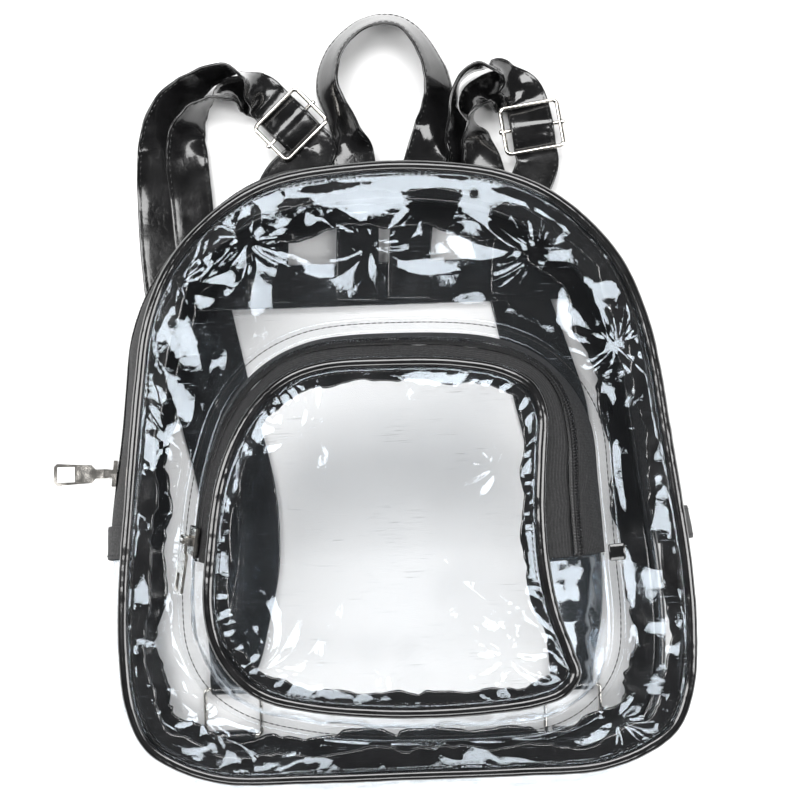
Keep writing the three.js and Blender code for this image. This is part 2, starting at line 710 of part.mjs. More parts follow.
// A flat strap along a route, turned about its own line by the route's lean
function ribbonBody(route) {
  const curve = new THREE.CatmullRomCurve3(route.map((stop) => stop.place), false, 'centripetal');
  const spans = route.length - 1;
  const shares = [0];
  for (let span = 0; span < spans; span += 1) {
    const twist = Math.abs(route[span + 1].lean - route[span].lean);
    const distance = route[span].place.distanceTo(route[span + 1].place);
    const pieces = Math.max(1, Math.round(distance / ribbonStep), Math.ceil(twist / ribbonTwist));
    for (let piece = 1; piece <= pieces; piece += 1) {
      shares.push((span + piece / pieces) / spans);
    }
  }
  const start = curve.getTangent(0);
  const across = new THREE.Vector3(-start.y, start.x, 0).normalize();
  const sections = shares.map((share) => {
    const span = Math.min(Math.floor(share * spans + 1e-9), spans - 1);
    const within = THREE.MathUtils.smoothstep(share * spans - span, 0, 1);
    const lean = THREE.MathUtils.lerp(route[span].lean, route[span + 1].lean, within);
    const along = curve.getTangent(share);
    const level = new THREE.Vector3(-along.y, along.x, 0);
    if (level.length() < 0.3) {
      level.copy(across);
    }
    level.normalize();
    if (level.dot(across) < 0) {
      level.negate();
    }
    across.copy(level);
    const side = level.clone().applyAxisAngle(along, lean);
    const face = along.clone().cross(side).normalize();
    const middle = curve.getPoint(share);
    const corner = (sideways, facing) => middle.clone()
      .addScaledVector(side, (sideways * strapWidth) / 2)
      .addScaledVector(face, (facing * strapWall) / 2);
    return [corner(-1, 1), corner(1, 1), corner(1, -1), corner(-1, -1)];
  });
  return sweepBody(sections, false);
}

// A wire bent into a rectangle with round corners, and the directions of its sides
function wireLoop(across, along) {
  const cornerSteps = 2;
  const sides = 6;
  const sections = [];
  for (let corner = 0; corner < 4; corner += 1) {
    const quarter = (corner * Math.PI) / 2;
    const signX = corner === 0 || corner === 3 ? 1 : -1;
    const signY = corner < 2 ? 1 : -1;
    const middleX = signX * (across / 2 - wireRadius - cornerRadius);
    const middleY = signY * (along / 2 - wireRadius - cornerRadius);
    for (let step = 0; step <= cornerSteps; step += 1) {
      const turn = quarter + (step / cornerSteps) * (Math.PI / 2);
      const out = new THREE.Vector3(Math.cos(turn), Math.sin(turn), 0);
      const middle = new THREE.Vector3(middleX, middleY, 0).addScaledVector(out, cornerRadius);
      const section = [];
      for (let side = 0; side < sides; side += 1) {
        const around = ((side + 0.5) / sides) * Math.PI * 2;
        section.push(middle.clone()
          .addScaledVector(out, Math.cos(around) * wireRadius)
          .add(new THREE.Vector3(0, 0, Math.sin(around) * wireRadius)));
      }
      sections.push(section);
    }
  }
  return sweepBody(sections, true);
}

// Where each buckle and ring lies, as shares of the body, how far the buckle's bars are turned, and how far the
// strap bends sideways as it leaves, in degrees
const sides = {
  left: {
    leg: leftLeg,
    arch: leftArch,
    back: leftReturn,
    buckle: { across: -0.182, up: 1.1, turn: 43, bend: 0 },
    ring: { across: -0.33, up: 0.08 },
    tabFoot: { across: -0.34, up: -0.008 },
  },
  right: {
    leg: rightLeg,
    arch: rightArch,
    back: rightReturn,
    buckle: { across: 0.265, up: 1.08, turn: 8, bend: 28 },
    ring: { across: 0.303, up: 0.066 },
    tabFoot: { across: 0.312, up: -0.018 },
  },
};

function placeOf(share, z) {
  return new THREE.Vector3(share.across * bodyWidth, share.up * bodyHeight, z);
}

// The strap goes under one end of the buckle, over its centre bar and under its other end.
function buckleCrossing(buckle) {
  const turn = THREE.MathUtils.degToRad(buckle.turn);
  const travel = new THREE.Vector3(-Math.sin(turn), Math.cos(turn), 0);
  const aside = new THREE.Vector3(-travel.y, travel.x, 0);
  const reach = buckleAlong / 2 - wireRadius;
  const past = reach + 2.5 * wrapRadius;
  const bend = Math.tan(THREE.MathUtils.degToRad(buckle.bend)) / (2 * (past - reach));
  const at = (distance, z) => placeOf(buckle, z)
    .addScaledVector(travel, distance)
    .addScaledVector(aside, bend * Math.max(distance - reach, 0) ** 2);
  const low = buckleZ - wrapRadius;
  const high = buckleZ + wrapRadius;
  const under = low - strapPitch - clearance;
  return {
    through: [at(-past, low), at(-reach, low), at(0, high), at(reach, low), at(past, low)],
    end: [at(past, under), at(reach, under), at(reach / 2, low - strapPitch / 2), at(0, low)],
  };
}

// A half turn about a wire that lies along X, from below to above it. side is -1 towards the bottom seam.
function halfTurn(x, y, side) {
  const stops = 4;
  return Array.from({ length: stops + 1 }, (unused, stop) => {
    const turn = -Math.PI / 2 + (stop / stops) * Math.PI;
    const place = new THREE.Vector3(
      x,
      y + side * Math.cos(turn) * wrapRadius,
      ringZ + Math.sin(turn) * wrapRadius,
    );
    return { place, lean: 0 };
  });
}

function shoulderStrap(side) {
  const { leg, arch, back, buckle, ring } = sides[side];
  const flat = (place) => ({ place, lean: 0 });
  const turnedOver = (turn) => (stop) => ({ place: stop.place, lean: stop.lean + turn });
  const crossing = buckleCrossing(buckle);
  const ringTop = placeOf(ring, 0).y + ringAlong / 2 - wireRadius;
  const middle = ring.across * bodyWidth;
  const lead = 3 * wrapRadius;
  const turn = halfTurn(middle, ringTop, -1);
  const start = [...routeOf(leg), ...crossing.through.map(flat)].map(turnedOver(-Math.PI));
  return ribbonBody([
    ...start,
    ...routeOf(arch),
    flat(new THREE.Vector3(middle, ringTop + lead, ringZ - wrapRadius)),
    ...turn,
    flat(new THREE.Vector3(middle, ringTop + lead, ringZ + wrapRadius)),
    ...routeOf(back),
    ...crossing.end.map(flat).map(turnedOver(Math.PI)),
  ]);
}

function sliderBuckle(side) {
  const { buckle } = sides[side];
  const bar = new THREE.CylinderGeometry(wireRadius, wireRadius, buckleAcross + buckleKnob, 8);
  bar.rotateZ(Math.PI / 2);
  const knobs = [-1, 1].map((end) => {
    const knob = new THREE.CylinderGeometry(wireRadius * 1.5, wireRadius * 1.5, buckleKnob, 8);
    knob.rotateZ(Math.PI / 2);
    return knob.translate((end * (buckleAcross + buckleKnob)) / 2, 0, 0);
  });
  const whole = joined([wireLoop(buckleAcross, buckleAlong), bar, ...knobs]);
  whole.rotateZ(THREE.MathUtils.degToRad(buckle.turn));
  const place = placeOf(buckle, buckleZ);
  return whole.translate(place.x, place.y, place.z);
}

function strapRing(side) {
  const place = placeOf(sides[side].ring, ringZ);
  return wireLoop(ringAcross, ringAlong).translate(place.x, place.y, place.z);
}

// A folded tab that holds the ring's lower wire and runs under the bottom seam
function ringTab(side) {
  const { ring, tabFoot } = sides[side];
  const place = placeOf(ring, 0);
  const bottomWire = place.y - ringAlong / 2 + wireRadius;
  const foot = placeOf(tabFoot, 0);
  const turn = halfTurn(place.x, bottomWire, 1);
  const lower = { place: foot.clone().setZ(ringZ - wrapRadius), lean: 0 };
  const upper = { place: foot.clone().setZ(ringZ + wrapRadius), lean: 0 };
  return ribbonBody([lower, ...turn, upper]);
}

function handle() {
  return ribbonBody(routeOf(handleRows));
}

// A slider stands on its zip. Its own axes are X out of the wall, Y along the zip and Z up the wall.
const pinOut = 5; // from the slider's foot to the middle of its pin

function sliderBody() {
  const base = new THREE.BoxGeometry(sliderBase, sliderLength, sliderWidth);
  base.translate(sliderBase / 2, 0, 0);
  const lugLength = 4;
  const lugHeight = pinOut + 1.5;
  const lugs = [-1, 1].map((end) => {
    const lug = new THREE.BoxGeometry(lugHeight, lugLength, lugWall);
    return lug.translate(lugHeight / 2, 0, (end * (lugGap + lugWall)) / 2);
  });
  const pin = new THREE.CylinderGeometry(pinRadius, pinRadius, lugGap + 2 * lugWall, 12);
  pin.rotateX(Math.PI / 2);
  pin.translate(pinOut, 0, 0);
  return joined([base, ...lugs, pin]);
}

const eyeRadius = pinRadius + clearance + 1.2;

// A flat pull that swings in its own plane, with a window near its free end. It points along +X from its eye.
function flatPull() {
  const neck = eyeRadius;
  const shoulder = 7.5;
  const half = pullWidth / 2;
  const shape = new THREE.Shape();
  shape.absarc(0, 0, eyeRadius, Math.PI / 2, (Math.PI * 3) / 2, false);
  shape.lineTo(shoulder - 2, -neck);
  shape.lineTo(shoulder, -half + 1);
  shape.lineTo(pullLength - 1.5, -half);
  shape.lineTo(pullLength, -half + 1.5);
  shape.lineTo(pullLength, half - 1.5);
  shape.lineTo(pullLength - 1.5, half);
  shape.lineTo(shoulder, half - 1);
  shape.lineTo(shoulder - 2, neck);
  const eye = new THREE.Path();
  eye.absarc(0, 0, pinRadius + clearance, 0, Math.PI * 2, true);
  const windowLength = 8.5;
  const rim = 1.7;
  const window = new THREE.Path();
  window.moveTo(pullLength - rim, half - rim);
  window.lineTo(pullLength - rim, -half + rim);
  window.lineTo(pullLength - rim - windowLength, -half + rim);
  window.lineTo(pullLength - rim - windowLength, half - rim);
  shape.holes.push(eye, window);
  const geometry = new THREE.ExtrudeGeometry(shape, { depth: pullWall, bevelEnabled: false, curveSegments: 6 });
  return geometry.translate(0, 0, -pullWall / 2);
}

// A pull whose blade stands along the pin: a barrel round the pin and a blade with a window.
function bladePull() {
  const barrel = new THREE.Shape();
  barrel.absarc(0, 0, eyeRadius, 0, Math.PI * 2, false);
  const bore = new THREE.Path();
  bore.absarc(0, 0, pinRadius + clearance, 0, Math.PI * 2, true);
  barrel.holes.push(bore);
  const barrelLength = lugGap - 2 * clearance;
  const tube = new THREE.ExtrudeGeometry(barrel, { depth: barrelLength, bevelEnabled: false, curveSegments: 6 });
  tube.translate(0, 0, -barrelLength / 2);
  const half = pullWidth / 2 - 0.7;
  const shoulder = 5;
  const rim = 1.7;
  const windowLength = 8;
  const blade = new THREE.Shape();
  blade.moveTo(eyeRadius - 0.5, -barrelLength / 2);
  blade.lineTo(shoulder, -barrelLength / 2);
  blade.lineTo(shoulder + 1.5, -half);
  blade.lineTo(pullLength - 1.5, -half);
  blade.lineTo(pullLength - 0.5, -half + 1.5);
  blade.lineTo(pullLength - 0.5, half - 1.5);
  blade.lineTo(pullLength - 1.5, half);
  blade.lineTo(shoulder + 1.5, half);
  blade.lineTo(shoulder, barrelLength / 2);
  blade.lineTo(eyeRadius - 0.5, barrelLength / 2);
  const window = new THREE.Path();
  const tip = pullLength - 0.5 - rim;
  window.moveTo(tip, half - rim);
  window.lineTo(tip, -half + rim);
  window.lineTo(tip - windowLength, -half + rim);
  window.lineTo(tip - windowLength, half - rim);
  blade.holes.push(window);
  const plate = new THREE.ExtrudeGeometry(blade, { depth: pullWall, bevelEnabled: false });
  plate.translate(0, 0, -pullWall / 2);
  plate.rotateX(Math.PI / 2);
  return joined([tube, plate]);
}

// The group that carries a slider: X out of the wall, Y along the zip, Z up the wall
function sliderSeat(wall, around) {
  const { up, out, along } = wall.frame(around);
  const seat = new THREE.Group();
  const foot = wall.point(around, 0.5, coilThickness / 2 - tapeWall / 2 + clearance);
  seat.setRotationFromMatrix(new THREE.Matrix4().makeBasis(out, along, up));
  seat.position.copy(foot);
  return seat;
}

const bag = new THREE.Group();

function addPiece(parent, name, geometry, finish) {
  const mesh = new THREE.Mesh(geometry, new THREE.MeshStandardMaterial(finish));
  mesh.name = name;
  parent.add(mesh);
  return mesh;
}

addPiece(bag, 'front_panel', frontPanel(), clearSheet);
addPiece(bag, 'back_panel', backPanel(), clearSheet);
addPiece(bag, 'lower_gusset', lowerGusset(), clearSheet);
addPiece(bag, 'zip_tape_front', zipTape(1), blackTape);
addPiece(bag, 'zip_tape_back', zipTape(-1), blackTape);
addPiece(bag, 'main_zip_coil', wallCoil(bodyWall, zipRight + bodySlit, zipLeft - bodySlit, 34), blackTape);
addPiece(bag, 'front_piping', pipingBody(body, frontSeamZ, frontStripWidth, 1, bodySteps), blackPatent);
addPiece(bag, 'back_piping', pipingBody(bodyBack, backSeamZ, backStripWidth, -1, bodySteps), blackPatent);
addPiece(bag, 'zip_end_tab_left', zipEndTab(zipLeft), blackPatent);
addPiece(bag, 'zip_end_tab_right', zipEndTab(zipRight), blackPatent);

addPiece(bag, 'pocket_panel', pocketPanel(), clearSheet);
addPiece(bag, 'pocket_piping', pipingBody(pocketFront, pocketSeamZ, pocketStripWidth, 1, pocketSteps), blackPatent);
addPiece(bag, 'pocket_gusset', pocketClearGusset(), clearSheet);
addPiece(bag, 'pocket_tape_outer', pocketTape(-1), blackTape);
addPiece(bag, 'pocket_tape_inner', pocketTape(1), blackTape);
const pocketCoil = wallCoil(pocketWall, pocketZipRight + pocketSlit, pocketZipLeft - pocketSlit, 28);
addPiece(bag, 'pocket_zip_coil', pocketCoil, blackTape);
addPiece(bag, 'pocket_flange', pocketFlange(), clearSheet);
addPiece(bag, 'pocket_zip_tail', pocketZipTail(), blackPatent);

addPiece(bag, 'back_band', backBand(), blackPatent);
addPiece(bag, 'handle', handle(), blackPatent);
for (const side of ['left', 'right']) {
  addPiece(bag, `strap_${side}`, shoulderStrap(side), blackPatent);
  addPiece(bag, `buckle_${side}`, sliderBuckle(side), nickel);
  addPiece(bag, `ring_${side}`, strapRing(side), nickel);
  addPiece(bag, `ring_tab_${side}`, ringTab(side), blackPatent);
}

// The main slider stands above the left end of its zip, and its pull points straight out to the side.
const mainSliderUp = 0.515;
const mainSeat = sliderSeat(bodyWall, shareAtHeight(body, mainSliderUp * bodyHeight, 'left'));
addPiece(mainSeat, 'main_slider', sliderBody(), nickel);
const mainPull = addPiece(mainSeat, 'main_pull', flatPull(), nickel);
mainPull.position.x = pinOut;
bag.add(mainSeat);

// The pocket's slider stands at the left end of its zip, and its pull lies along the zip towards the bottom.
const pocketSliderUp = 0.5;
const pocketSliderShare = shareAtHeight(pocketSeam, pocketOffsetY + pocketSliderUp * pocketHeight, 'left');
const pocketSeat = sliderSeat(pocketWall, pocketSliderShare);
addPiece(pocketSeat, 'pocket_slider', sliderBody(), nickel);
const pocketPull = addPiece(pocketSeat, 'pocket_pull', bladePull(), nickel);
pocketPull.position.x = pinOut;
bag.add(pocketSeat);

// Pulls turn about their pins: the main one to point straight along -X, the pocket's down along its zip.
bag.updateMatrixWorld(true);
function turnPull(pull, seat, heading) {
  const local = heading.clone().applyQuaternion(seat.quaternion.clone().invert());
  pull.rotation.z = Math.atan2(local.y, local.x);
}
turnPull(mainPull, mainSeat, new THREE.Vector3(-1, 0, 0));
turnPull(pocketPull, pocketSeat, pocketWall.frame(pocketSliderShare).along.clone());

// The origin is at the bottom centre of the whole bag's box.
bag.updateMatrixWorld(true);
const box = new THREE.Box3().setFromObject(bag, true);
const centre = box.getCenter(new THREE.Vector3());
bag.position.set(-centre.x, -centre.y, -box.min.z);

export default bag;
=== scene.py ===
import math

import bmesh
import bpy
import numpy as np
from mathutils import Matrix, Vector


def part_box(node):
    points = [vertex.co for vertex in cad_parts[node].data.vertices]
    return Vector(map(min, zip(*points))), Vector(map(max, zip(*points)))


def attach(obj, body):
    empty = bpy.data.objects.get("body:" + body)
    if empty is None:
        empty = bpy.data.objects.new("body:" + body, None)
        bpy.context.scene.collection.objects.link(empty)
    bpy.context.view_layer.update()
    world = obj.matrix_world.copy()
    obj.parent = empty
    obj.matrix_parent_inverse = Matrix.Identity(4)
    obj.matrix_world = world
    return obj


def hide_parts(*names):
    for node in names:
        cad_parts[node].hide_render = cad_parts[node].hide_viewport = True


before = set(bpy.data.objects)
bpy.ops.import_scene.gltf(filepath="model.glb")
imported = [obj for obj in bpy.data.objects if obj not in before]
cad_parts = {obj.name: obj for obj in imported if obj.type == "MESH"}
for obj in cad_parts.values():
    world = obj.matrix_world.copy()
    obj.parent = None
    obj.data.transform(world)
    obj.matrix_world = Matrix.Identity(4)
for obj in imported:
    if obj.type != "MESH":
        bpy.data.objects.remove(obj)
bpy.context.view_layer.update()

mm = 0.001
upward = np.array([0, 0, 1.0])

# The bag's driving sizes, in millimetres, the same as in the frame
bag = {
    "width": 278.0,
    "height": 297.0,
    "depth": 60.0,
    "bulge": 8.0,
    "backDrift": (-6.0, -7.0),
    "zipEndUp": 0.4,
    "endTab": 16.0,
    "piping": 2.8,
    "sheet": 0.6,
    "tape": 1.2,
    "gap": 0.3,
    "frontStrip": 9.0,
    "backStrip": 13.0,
}
pocket = {
    "width": 199.0,
    "height": 188.0,
    "depth": 24.0,
    "offset": (-2.3, 26.7),
    "bulge": 3.5,
    "flange": 6.0,
    "flangeGap": 1.6,
    "strip": 6.0,
    "zipRightUp": 0.42,
    "zipLeftUp": 0.45,
    "sag": 0.16,
}
coil = {
    "width": 6.0, "thickness": 2.2, "pitch": 1.55, "tooth": 0.62, "toothSection": (1.05, 1.7),
    "row": 1.05, "slant": 0.18, "lift": 0.15, "thread": 2.4, "coreHalf": (2.7, 0.7),
}
strap = {
    "width": 22.0, "wall": 1.6, "spacing": 1.5, "stitch": (3.1, 2.3, 0.6), "stitchAt": 0.83,
    "crease": 0.16, "fineCrease": 0.09, "uneven": 0.008,
}
band = {"up": 233.0, "height": 23.0, "wall": 1.0}
wire = {"radius": 1.1, "gap": 0.6, "corner": 2.5}
buckle = {"across": 32.0, "along": 26.0, "knob": 2.4}
ring = {"across": 31.0, "along": 27.0}

# Heights above the floor, from the lowest strap layer up
strapPitch = strap["wall"] + bag["gap"]
bandBottom = 2 * strapPitch
legMiddle = bandBottom + band["wall"] + bag["gap"] + strap["wall"] / 2
backSeamZ = legMiddle + strap["wall"] / 2 + bag["gap"] + bag["piping"]
frontSeamZ = backSeamZ + bag["depth"]
panelSeat = bag["piping"] / 2 + bag["gap"]
frontTopZ = frontSeamZ + panelSeat + 1.0
pocketBaseZ = frontTopZ + bag["gap"]
pocketSeamZ = pocketBaseZ + pocket["depth"]
wrapRadius = wire["radius"] + wire["gap"] + strap["wall"] / 2
ringZ = strap["wall"] / 2 + wrapRadius
buckleZ = legMiddle + wrapRadius

sides = {
    "left": {
        "buckle": {"across": -0.182, "up": 1.1, "turn": 43, "bend": 0},
        "ring": {"across": -0.33, "up": 0.08},
        "tabFoot": {"across": -0.34, "up": -0.008},
    },
    "right": {
        "buckle": {"across": 0.265, "up": 1.08, "turn": 8, "bend": 28},
        "ring": {"across": 0.303, "up": 0.066},
        "tabFoot": {"across": 0.312, "up": -0.018},
    },
}


def placeOf(share, z):
    return np.array([share["across"] * bag["width"], share["up"] * bag["height"], z])


# The bag's own zero, found from the left buckle, which is the same about its middle
buckleLow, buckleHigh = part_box("buckle_left")
buckleMiddle = np.array((buckleLow + buckleHigh) / 2)
origin = buckleMiddle - placeOf(sides["left"]["buckle"], buckleZ) * mm

# Outlines run anticlockwise from the middle of the bottom edge: share of half the width, share of the height
bodyOutline = [
    (0, 0), (0.36, 0), (0.66, 0.005), (0.83, 0.033), (0.925, 0.067), (0.982, 0.13), (1, 0.22),
    (0.992, 0.33), (0.96, 0.46), (0.93, 0.57), (0.905, 0.66), (0.865, 0.745), (0.795, 0.825),
    (0.7, 0.885), (0.55, 0.945), (0.36, 0.983), (0.1, 1), (-0.12, 1), (-0.4, 0.983),
    (-0.575, 0.945), (-0.725, 0.885), (-0.815, 0.825), (-0.88, 0.745), (-0.91, 0.66),
    (-0.935, 0.57), (-0.962, 0.46), (-0.992, 0.33), (-1, 0.22), (-0.982, 0.13), (-0.925, 0.067),
    (-0.83, 0.033), (-0.66, 0.005), (-0.36, 0),
]
pocketSeamOutline = [
    (0.06, 0), (0.4, 0), (0.68, 0.012), (0.83, 0.05), (0.93, 0.105), (0.985, 0.17), (1, 0.26),
    (0.985, 0.42), (0.965, 0.6), (0.94, 0.75), (0.85, 0.85), (0.7, 0.93), (0.48, 0.98), (0.05, 1),
    (-0.4, 0.985), (-0.64, 0.925), (-0.8, 0.83), (-0.915, 0.67), (-0.975, 0.5), (-1, 0.35),
    (-0.985, 0.22), (-0.9, 0.13), (-0.74, 0.066), (-0.45, 0.022), (-0.2, 0.006),
]
pocketFrontOutline = [
    (0.06, 0.042), (0.35, 0.045), (0.62, 0.06), (0.755, 0.085), (0.825, 0.135), (0.795, 0.2),
    (0.735, 0.3), (0.7, 0.41), (0.69, 0.55), (0.705, 0.68), (0.715, 0.79), (0.66, 0.86),
    (0.52, 0.905), (0.3, 0.93), (0, 0.938), (-0.33, 0.933), (-0.5, 0.905), (-0.64, 0.85),
    (-0.76, 0.76), (-0.85, 0.64), (-0.905, 0.47), (-0.925, 0.33), (-0.89, 0.235), (-0.8, 0.155),
    (-0.67, 0.1), (-0.44, 0.066), (-0.16, 0.048),
]

print("shapes")


# A centripetal Catmull-Rom curve through points, at shares of its run
def spline(points, closed, shares):
    points = np.asarray(points, float)
    count = len(points)
    spans = count if closed else count - 1
    at = np.clip(np.asarray(shares, float), 0, 1) * spans
    span = np.minimum(np.floor(at).astype(int), spans - 1)
    weight = (at - span)[:, None]
    if closed:
        knots = [points[(span + step) % count] for step in (-1, 0, 1, 2)]
    else:
        longer = np.vstack([2 * points[0] - points[1], points, 2 * points[-1] - points[-2]])
        knots = [longer[span + step] for step in range(4)]
    before, here, there, after = knots
    gaps = [
        np.maximum(np.sum((b - a) ** 2, axis=1), 1e-9)[:, None] ** 0.25
        for a, b in ((before, here), (here, there), (there, after))
    ]
    start = (here - before) / gaps[0] - (there - before) / (gaps[0] + gaps[1]) + (there - here) / gaps[1]
    end = (there - here) / gaps[1] - (after - here) / (gaps[1] + gaps[2]) + (after - there) / gaps[2]
    start = start * gaps[1]
    end = end * gaps[1]
    square = -3 * here + 3 * there - 2 * start - end
    cube = 2 * here - 2 * there + start + end
    return here + start * weight + square * weight**2 + cube * weight**3


def unit(vectors):
    return vectors / np.maximum(np.linalg.norm(vectors, axis=-1, keepdims=True), 1e-12)


# Vectors of a plane, with a third number of zero
def inSpace(flat):
    return np.concatenate([flat, np.zeros(flat.shape[:-1] + (1,))], axis=-1)


def circle(count):
    return np.arange(count) / count * 2 * math.pi


# A closed outline: the place, the direction and the outward side at any share of its length
class Outline:
    def __init__(self, rows, width, height, shift):
        points = [(shift[0] + across * width / 2, shift[1] + up * height) for across, up in rows]
        self.fine = spline(points, True, np.linspace(0, 1, 3001))
        steps = np.linalg.norm(np.diff(self.fine, axis=0), axis=1)
        self.run = np.concatenate([[0], np.cumsum(steps)])
        self.length = self.run[-1]

    def place(self, around):
        at = np.mod(around, 1) * self.length
        return np.stack([np.interp(at, self.run, self.fine[:, axis]) for axis in (0, 1)], axis=-1)

    def along(self, around):
        reach = 0.012
        small = 0.0005
        sides = [self.place(around + s + small) - self.place(around + s - small) for s in (-reach, reach)]
        return unit(unit(sides[0]) + unit(sides[1]))

    def outward(self, around):
        along = self.along(around)
        return np.stack([along[..., 1], -along[..., 0]], axis=-1)

    def inset(self, around, distance, z):
        flat = self.place(around) - self.outward(around) * np.asarray(distance)[..., None]
        return np.concatenate([flat, np.broadcast_to(z, flat.shape[:-1])[..., None]], axis=-1)

    def shareAt(self, height, side):
        for step in range(400):
            share = step / 800 if side == "right" else 1 - step / 800
            if self.place(np.array([share]))[0, 1] >= height:
                return share
        return 0.5


# A wall between two outlines
class Wall:
    def __init__(self, low, high, lowZ, highZ, insets, bulge):
        self.low, self.high, self.lowZ, self.highZ = low, high, lowZ, highZ
        self.insets, self.bulge = insets, bulge

    def frame(self, around):
        foot = self.low.inset(around, self.insets[0], self.lowZ)
        head = self.high.inset(around, self.insets[1], self.highZ)
        up = head - foot
        length = np.linalg.norm(up, axis=-1)
        up = unit(up)
        out = unit(np.cross(inSpace(self.low.along(around)), up))
        return foot, up, out, unit(np.cross(up, out)), length

    def points(self, around, share, distance=0.0):
        foot, up, out, along, length = self.frame(around)
        swell = self.bulge(around)[:, None] * 4 * share * (1 - share)
        lift = share * length[:, None]
        place = foot[:, None] + up[:, None] * lift[..., None] + out[:, None] * (swell + distance)[..., None]
        place[..., 2] = np.clip(place[..., 2], self.lowZ, self.highZ)
        return place


body = Outline(bodyOutline, bag["width"], bag["height"], (0, 0))
bodyBack = Outline(bodyOutline, bag["width"], bag["height"], bag["backDrift"])
pocketSeam = Outline(pocketSeamOutline, pocket["width"], pocket["height"], pocket["offset"])
pocketFront = Outline(pocketFrontOutline, pocket["width"], pocket["height"], pocket["offset"])
bodyWall = Wall(
    bodyBack, body,
    backSeamZ + bag["piping"] + bag["gap"], frontSeamZ - bag["piping"] - bag["gap"],
    (bag["piping"], bag["piping"]),
    lambda around: bag["bulge"] * (1 + 0.12 * np.sin(around * 60) + 0.1 * np.sin(around * 37)),
)
pocketWall = Wall(
    pocketSeam, pocketFront,
    pocketBaseZ, pocketSeamZ - bag["piping"] - bag["gap"],
    (0.0, bag["piping"]),
    lambda around: pocket["bulge"] + 0 * around,
)
zipRight = body.shareAt(bag["zipEndUp"] * bag["height"], "right")
zipLeft = body.shareAt(bag["zipEndUp"] * bag["height"], "left")
pocketZipRight = pocketSeam.shareAt(pocket["offset"][1] + pocket["height"] * pocket["zipRightUp"], "right")
pocketZipLeft = pocketSeam.shareAt(pocket["offset"][1] + pocket["height"] * pocket["zipLeftUp"], "left")


# Smooth noise from -1 to 1 over a plane, with hills about one scale apart
def noise(x, y, scale, seed):
    size = 61
    table = np.random.default_rng(seed).random((size, size)) * 2 - 1
    u = np.asarray(x) / scale + 1000
    v = np.asarray(y) / scale + 1000
    column = np.floor(u).astype(int)
    row = np.floor(v).astype(int)
    fu = u - column
    fv = v - row
    fu = fu * fu * (3 - 2 * fu)
    fv = fv * fv * (3 - 2 * fv)
    pick = lambda i, j: table[(row + j) % size, (column + i) % size]
    low = pick(0, 0) * (1 - fu) + pick(1, 0) * fu
    high = pick(0, 1) * (1 - fu) + pick(1, 1) * fu
    return low * (1 - fv) + high * fv


def smooth(low, high, value):
    t = np.clip((value - low) / (high - low), 0, 1)
    return t * t * (3 - 2 * t)


# Makes an object from points in millimetres
def meshObject(name, points, faces):
    mesh = bpy.data.meshes.new(name)
    placed = np.asarray(points, float).reshape(-1, 3) * mm + origin
    mesh.from_pydata(placed.tolist(), [], [tuple(int(i) for i in face) for face in faces])
    mesh.validate()
    mesh.shade_smooth()
    made = bpy.data.objects.new(name, mesh)
    bpy.context.scene.collection.objects.link(made)
    return made


# Faces of a grid of points
def gridFaces(rows, columns, closeRows=False, closeColumns=False, start=0):
    faces = []
    for row in range(rows if closeRows else rows - 1):
        here = start + row * columns
        there = start + ((row + 1) % rows) * columns
        for column in range(columns if closeColumns else columns - 1):
            after = (column + 1) % columns
            faces.append((here + column, here + after, there + after, there + column))
    return faces


# A body swept through sections. Open runs get ends: one face, or a ladder of faces where the section is long
def sweep(sections, closed=False, start=0):
    rows, columns = len(sections), len(sections[0])
    faces = gridFaces(rows, columns, closed, True, start)
    for first in () if closed else (start, start + (rows - 1) * columns):
        if columns % 2 or columns < 10:
            faces.append(tuple(range(first, first + columns)))
            continue
        for step in range(columns // 2 - 1):
            last = first + columns - 1 - step
            faces.append((first + step, first + step + 1, last - 1, last))
    return faces


# Turns every face the same way out
def faceOut(made):
    work = bmesh.new()
    work.from_mesh(made.data)
    bmesh.ops.recalc_face_normals(work, faces=work.faces)
    work.to_mesh(made.data)
    work.free()
    return made


# Several bodies in one object
def joinedObject(name, parts):
    points, faces, start = [], [], 0
    for partPoints, partFaces in parts:
        partPoints = np.asarray(partPoints).reshape(-1, 3)
        points.append(partPoints)
        faces += [tuple(i + start for i in face) for face in partFaces]
        start += len(partPoints)
    return faceOut(meshObject(name, np.vstack(points), faces))


# A closed surface becomes a thin sheet
def thicken(made, wall):
    shell = made.modifiers.new("thickness", "SOLIDIFY")
    shell.thickness = wall * mm
    shell.offset = 0.0
    shell.use_even_offset = False
    return made


# One small shape copied along a row of places; frames are (along, side, up)
def copies(template, templateFaces, places, along, side, up):
    template = np.asarray(template, float)
    points = (
        places[:, None]
        + along[:, None] * template[None, :, 0:1]
        + side[:, None] * template[None, :, 1:2]
        + up[:, None] * template[None, :, 2:3]
    )
    size = len(template)
    faces = [tuple(i + copy * size for i in face) for copy in range(len(places)) for face in templateFaces]
    return points.reshape(-1, 3), faces


# A short rounded bar along X, for a stitch or a zip tooth
def barTemplate(length, width, height, sidesCount=6, ends=(0.35, 0.85, 1.0, 0.85, 0.35)):
    sections = []
    for step, share in enumerate(ends):
        x = (step / (len(ends) - 1) - 0.5) * length
        turns = circle(sidesCount)
        sections.append(np.stack([
            np.full(sidesCount, x), np.cos(turns) * width / 2 * share, np.sin(turns) * height / 2 * share,
        ], axis=-1))
    return np.vstack(sections), sweep(sections)


# Evenly spaced places along a run of points, with the direction there
def evenly(points, spacing, closed=False):
    points = np.asarray(points, float)
    if closed:
        points = np.vstack([points, points[:1]])
    run = np.concatenate([[0], np.cumsum(np.linalg.norm(np.diff(points, axis=0), axis=1))])
    count = max(2, int(run[-1] / spacing))
    at = (np.arange(count) + 0.5) * run[-1] / count
    pick = lambda where: np.stack([np.interp(where, run, points[:, axis]) for axis in range(3)], axis=-1)
    return pick(at), unit(pick(at + 0.2) - pick(at - 0.2)), at / run[-1]


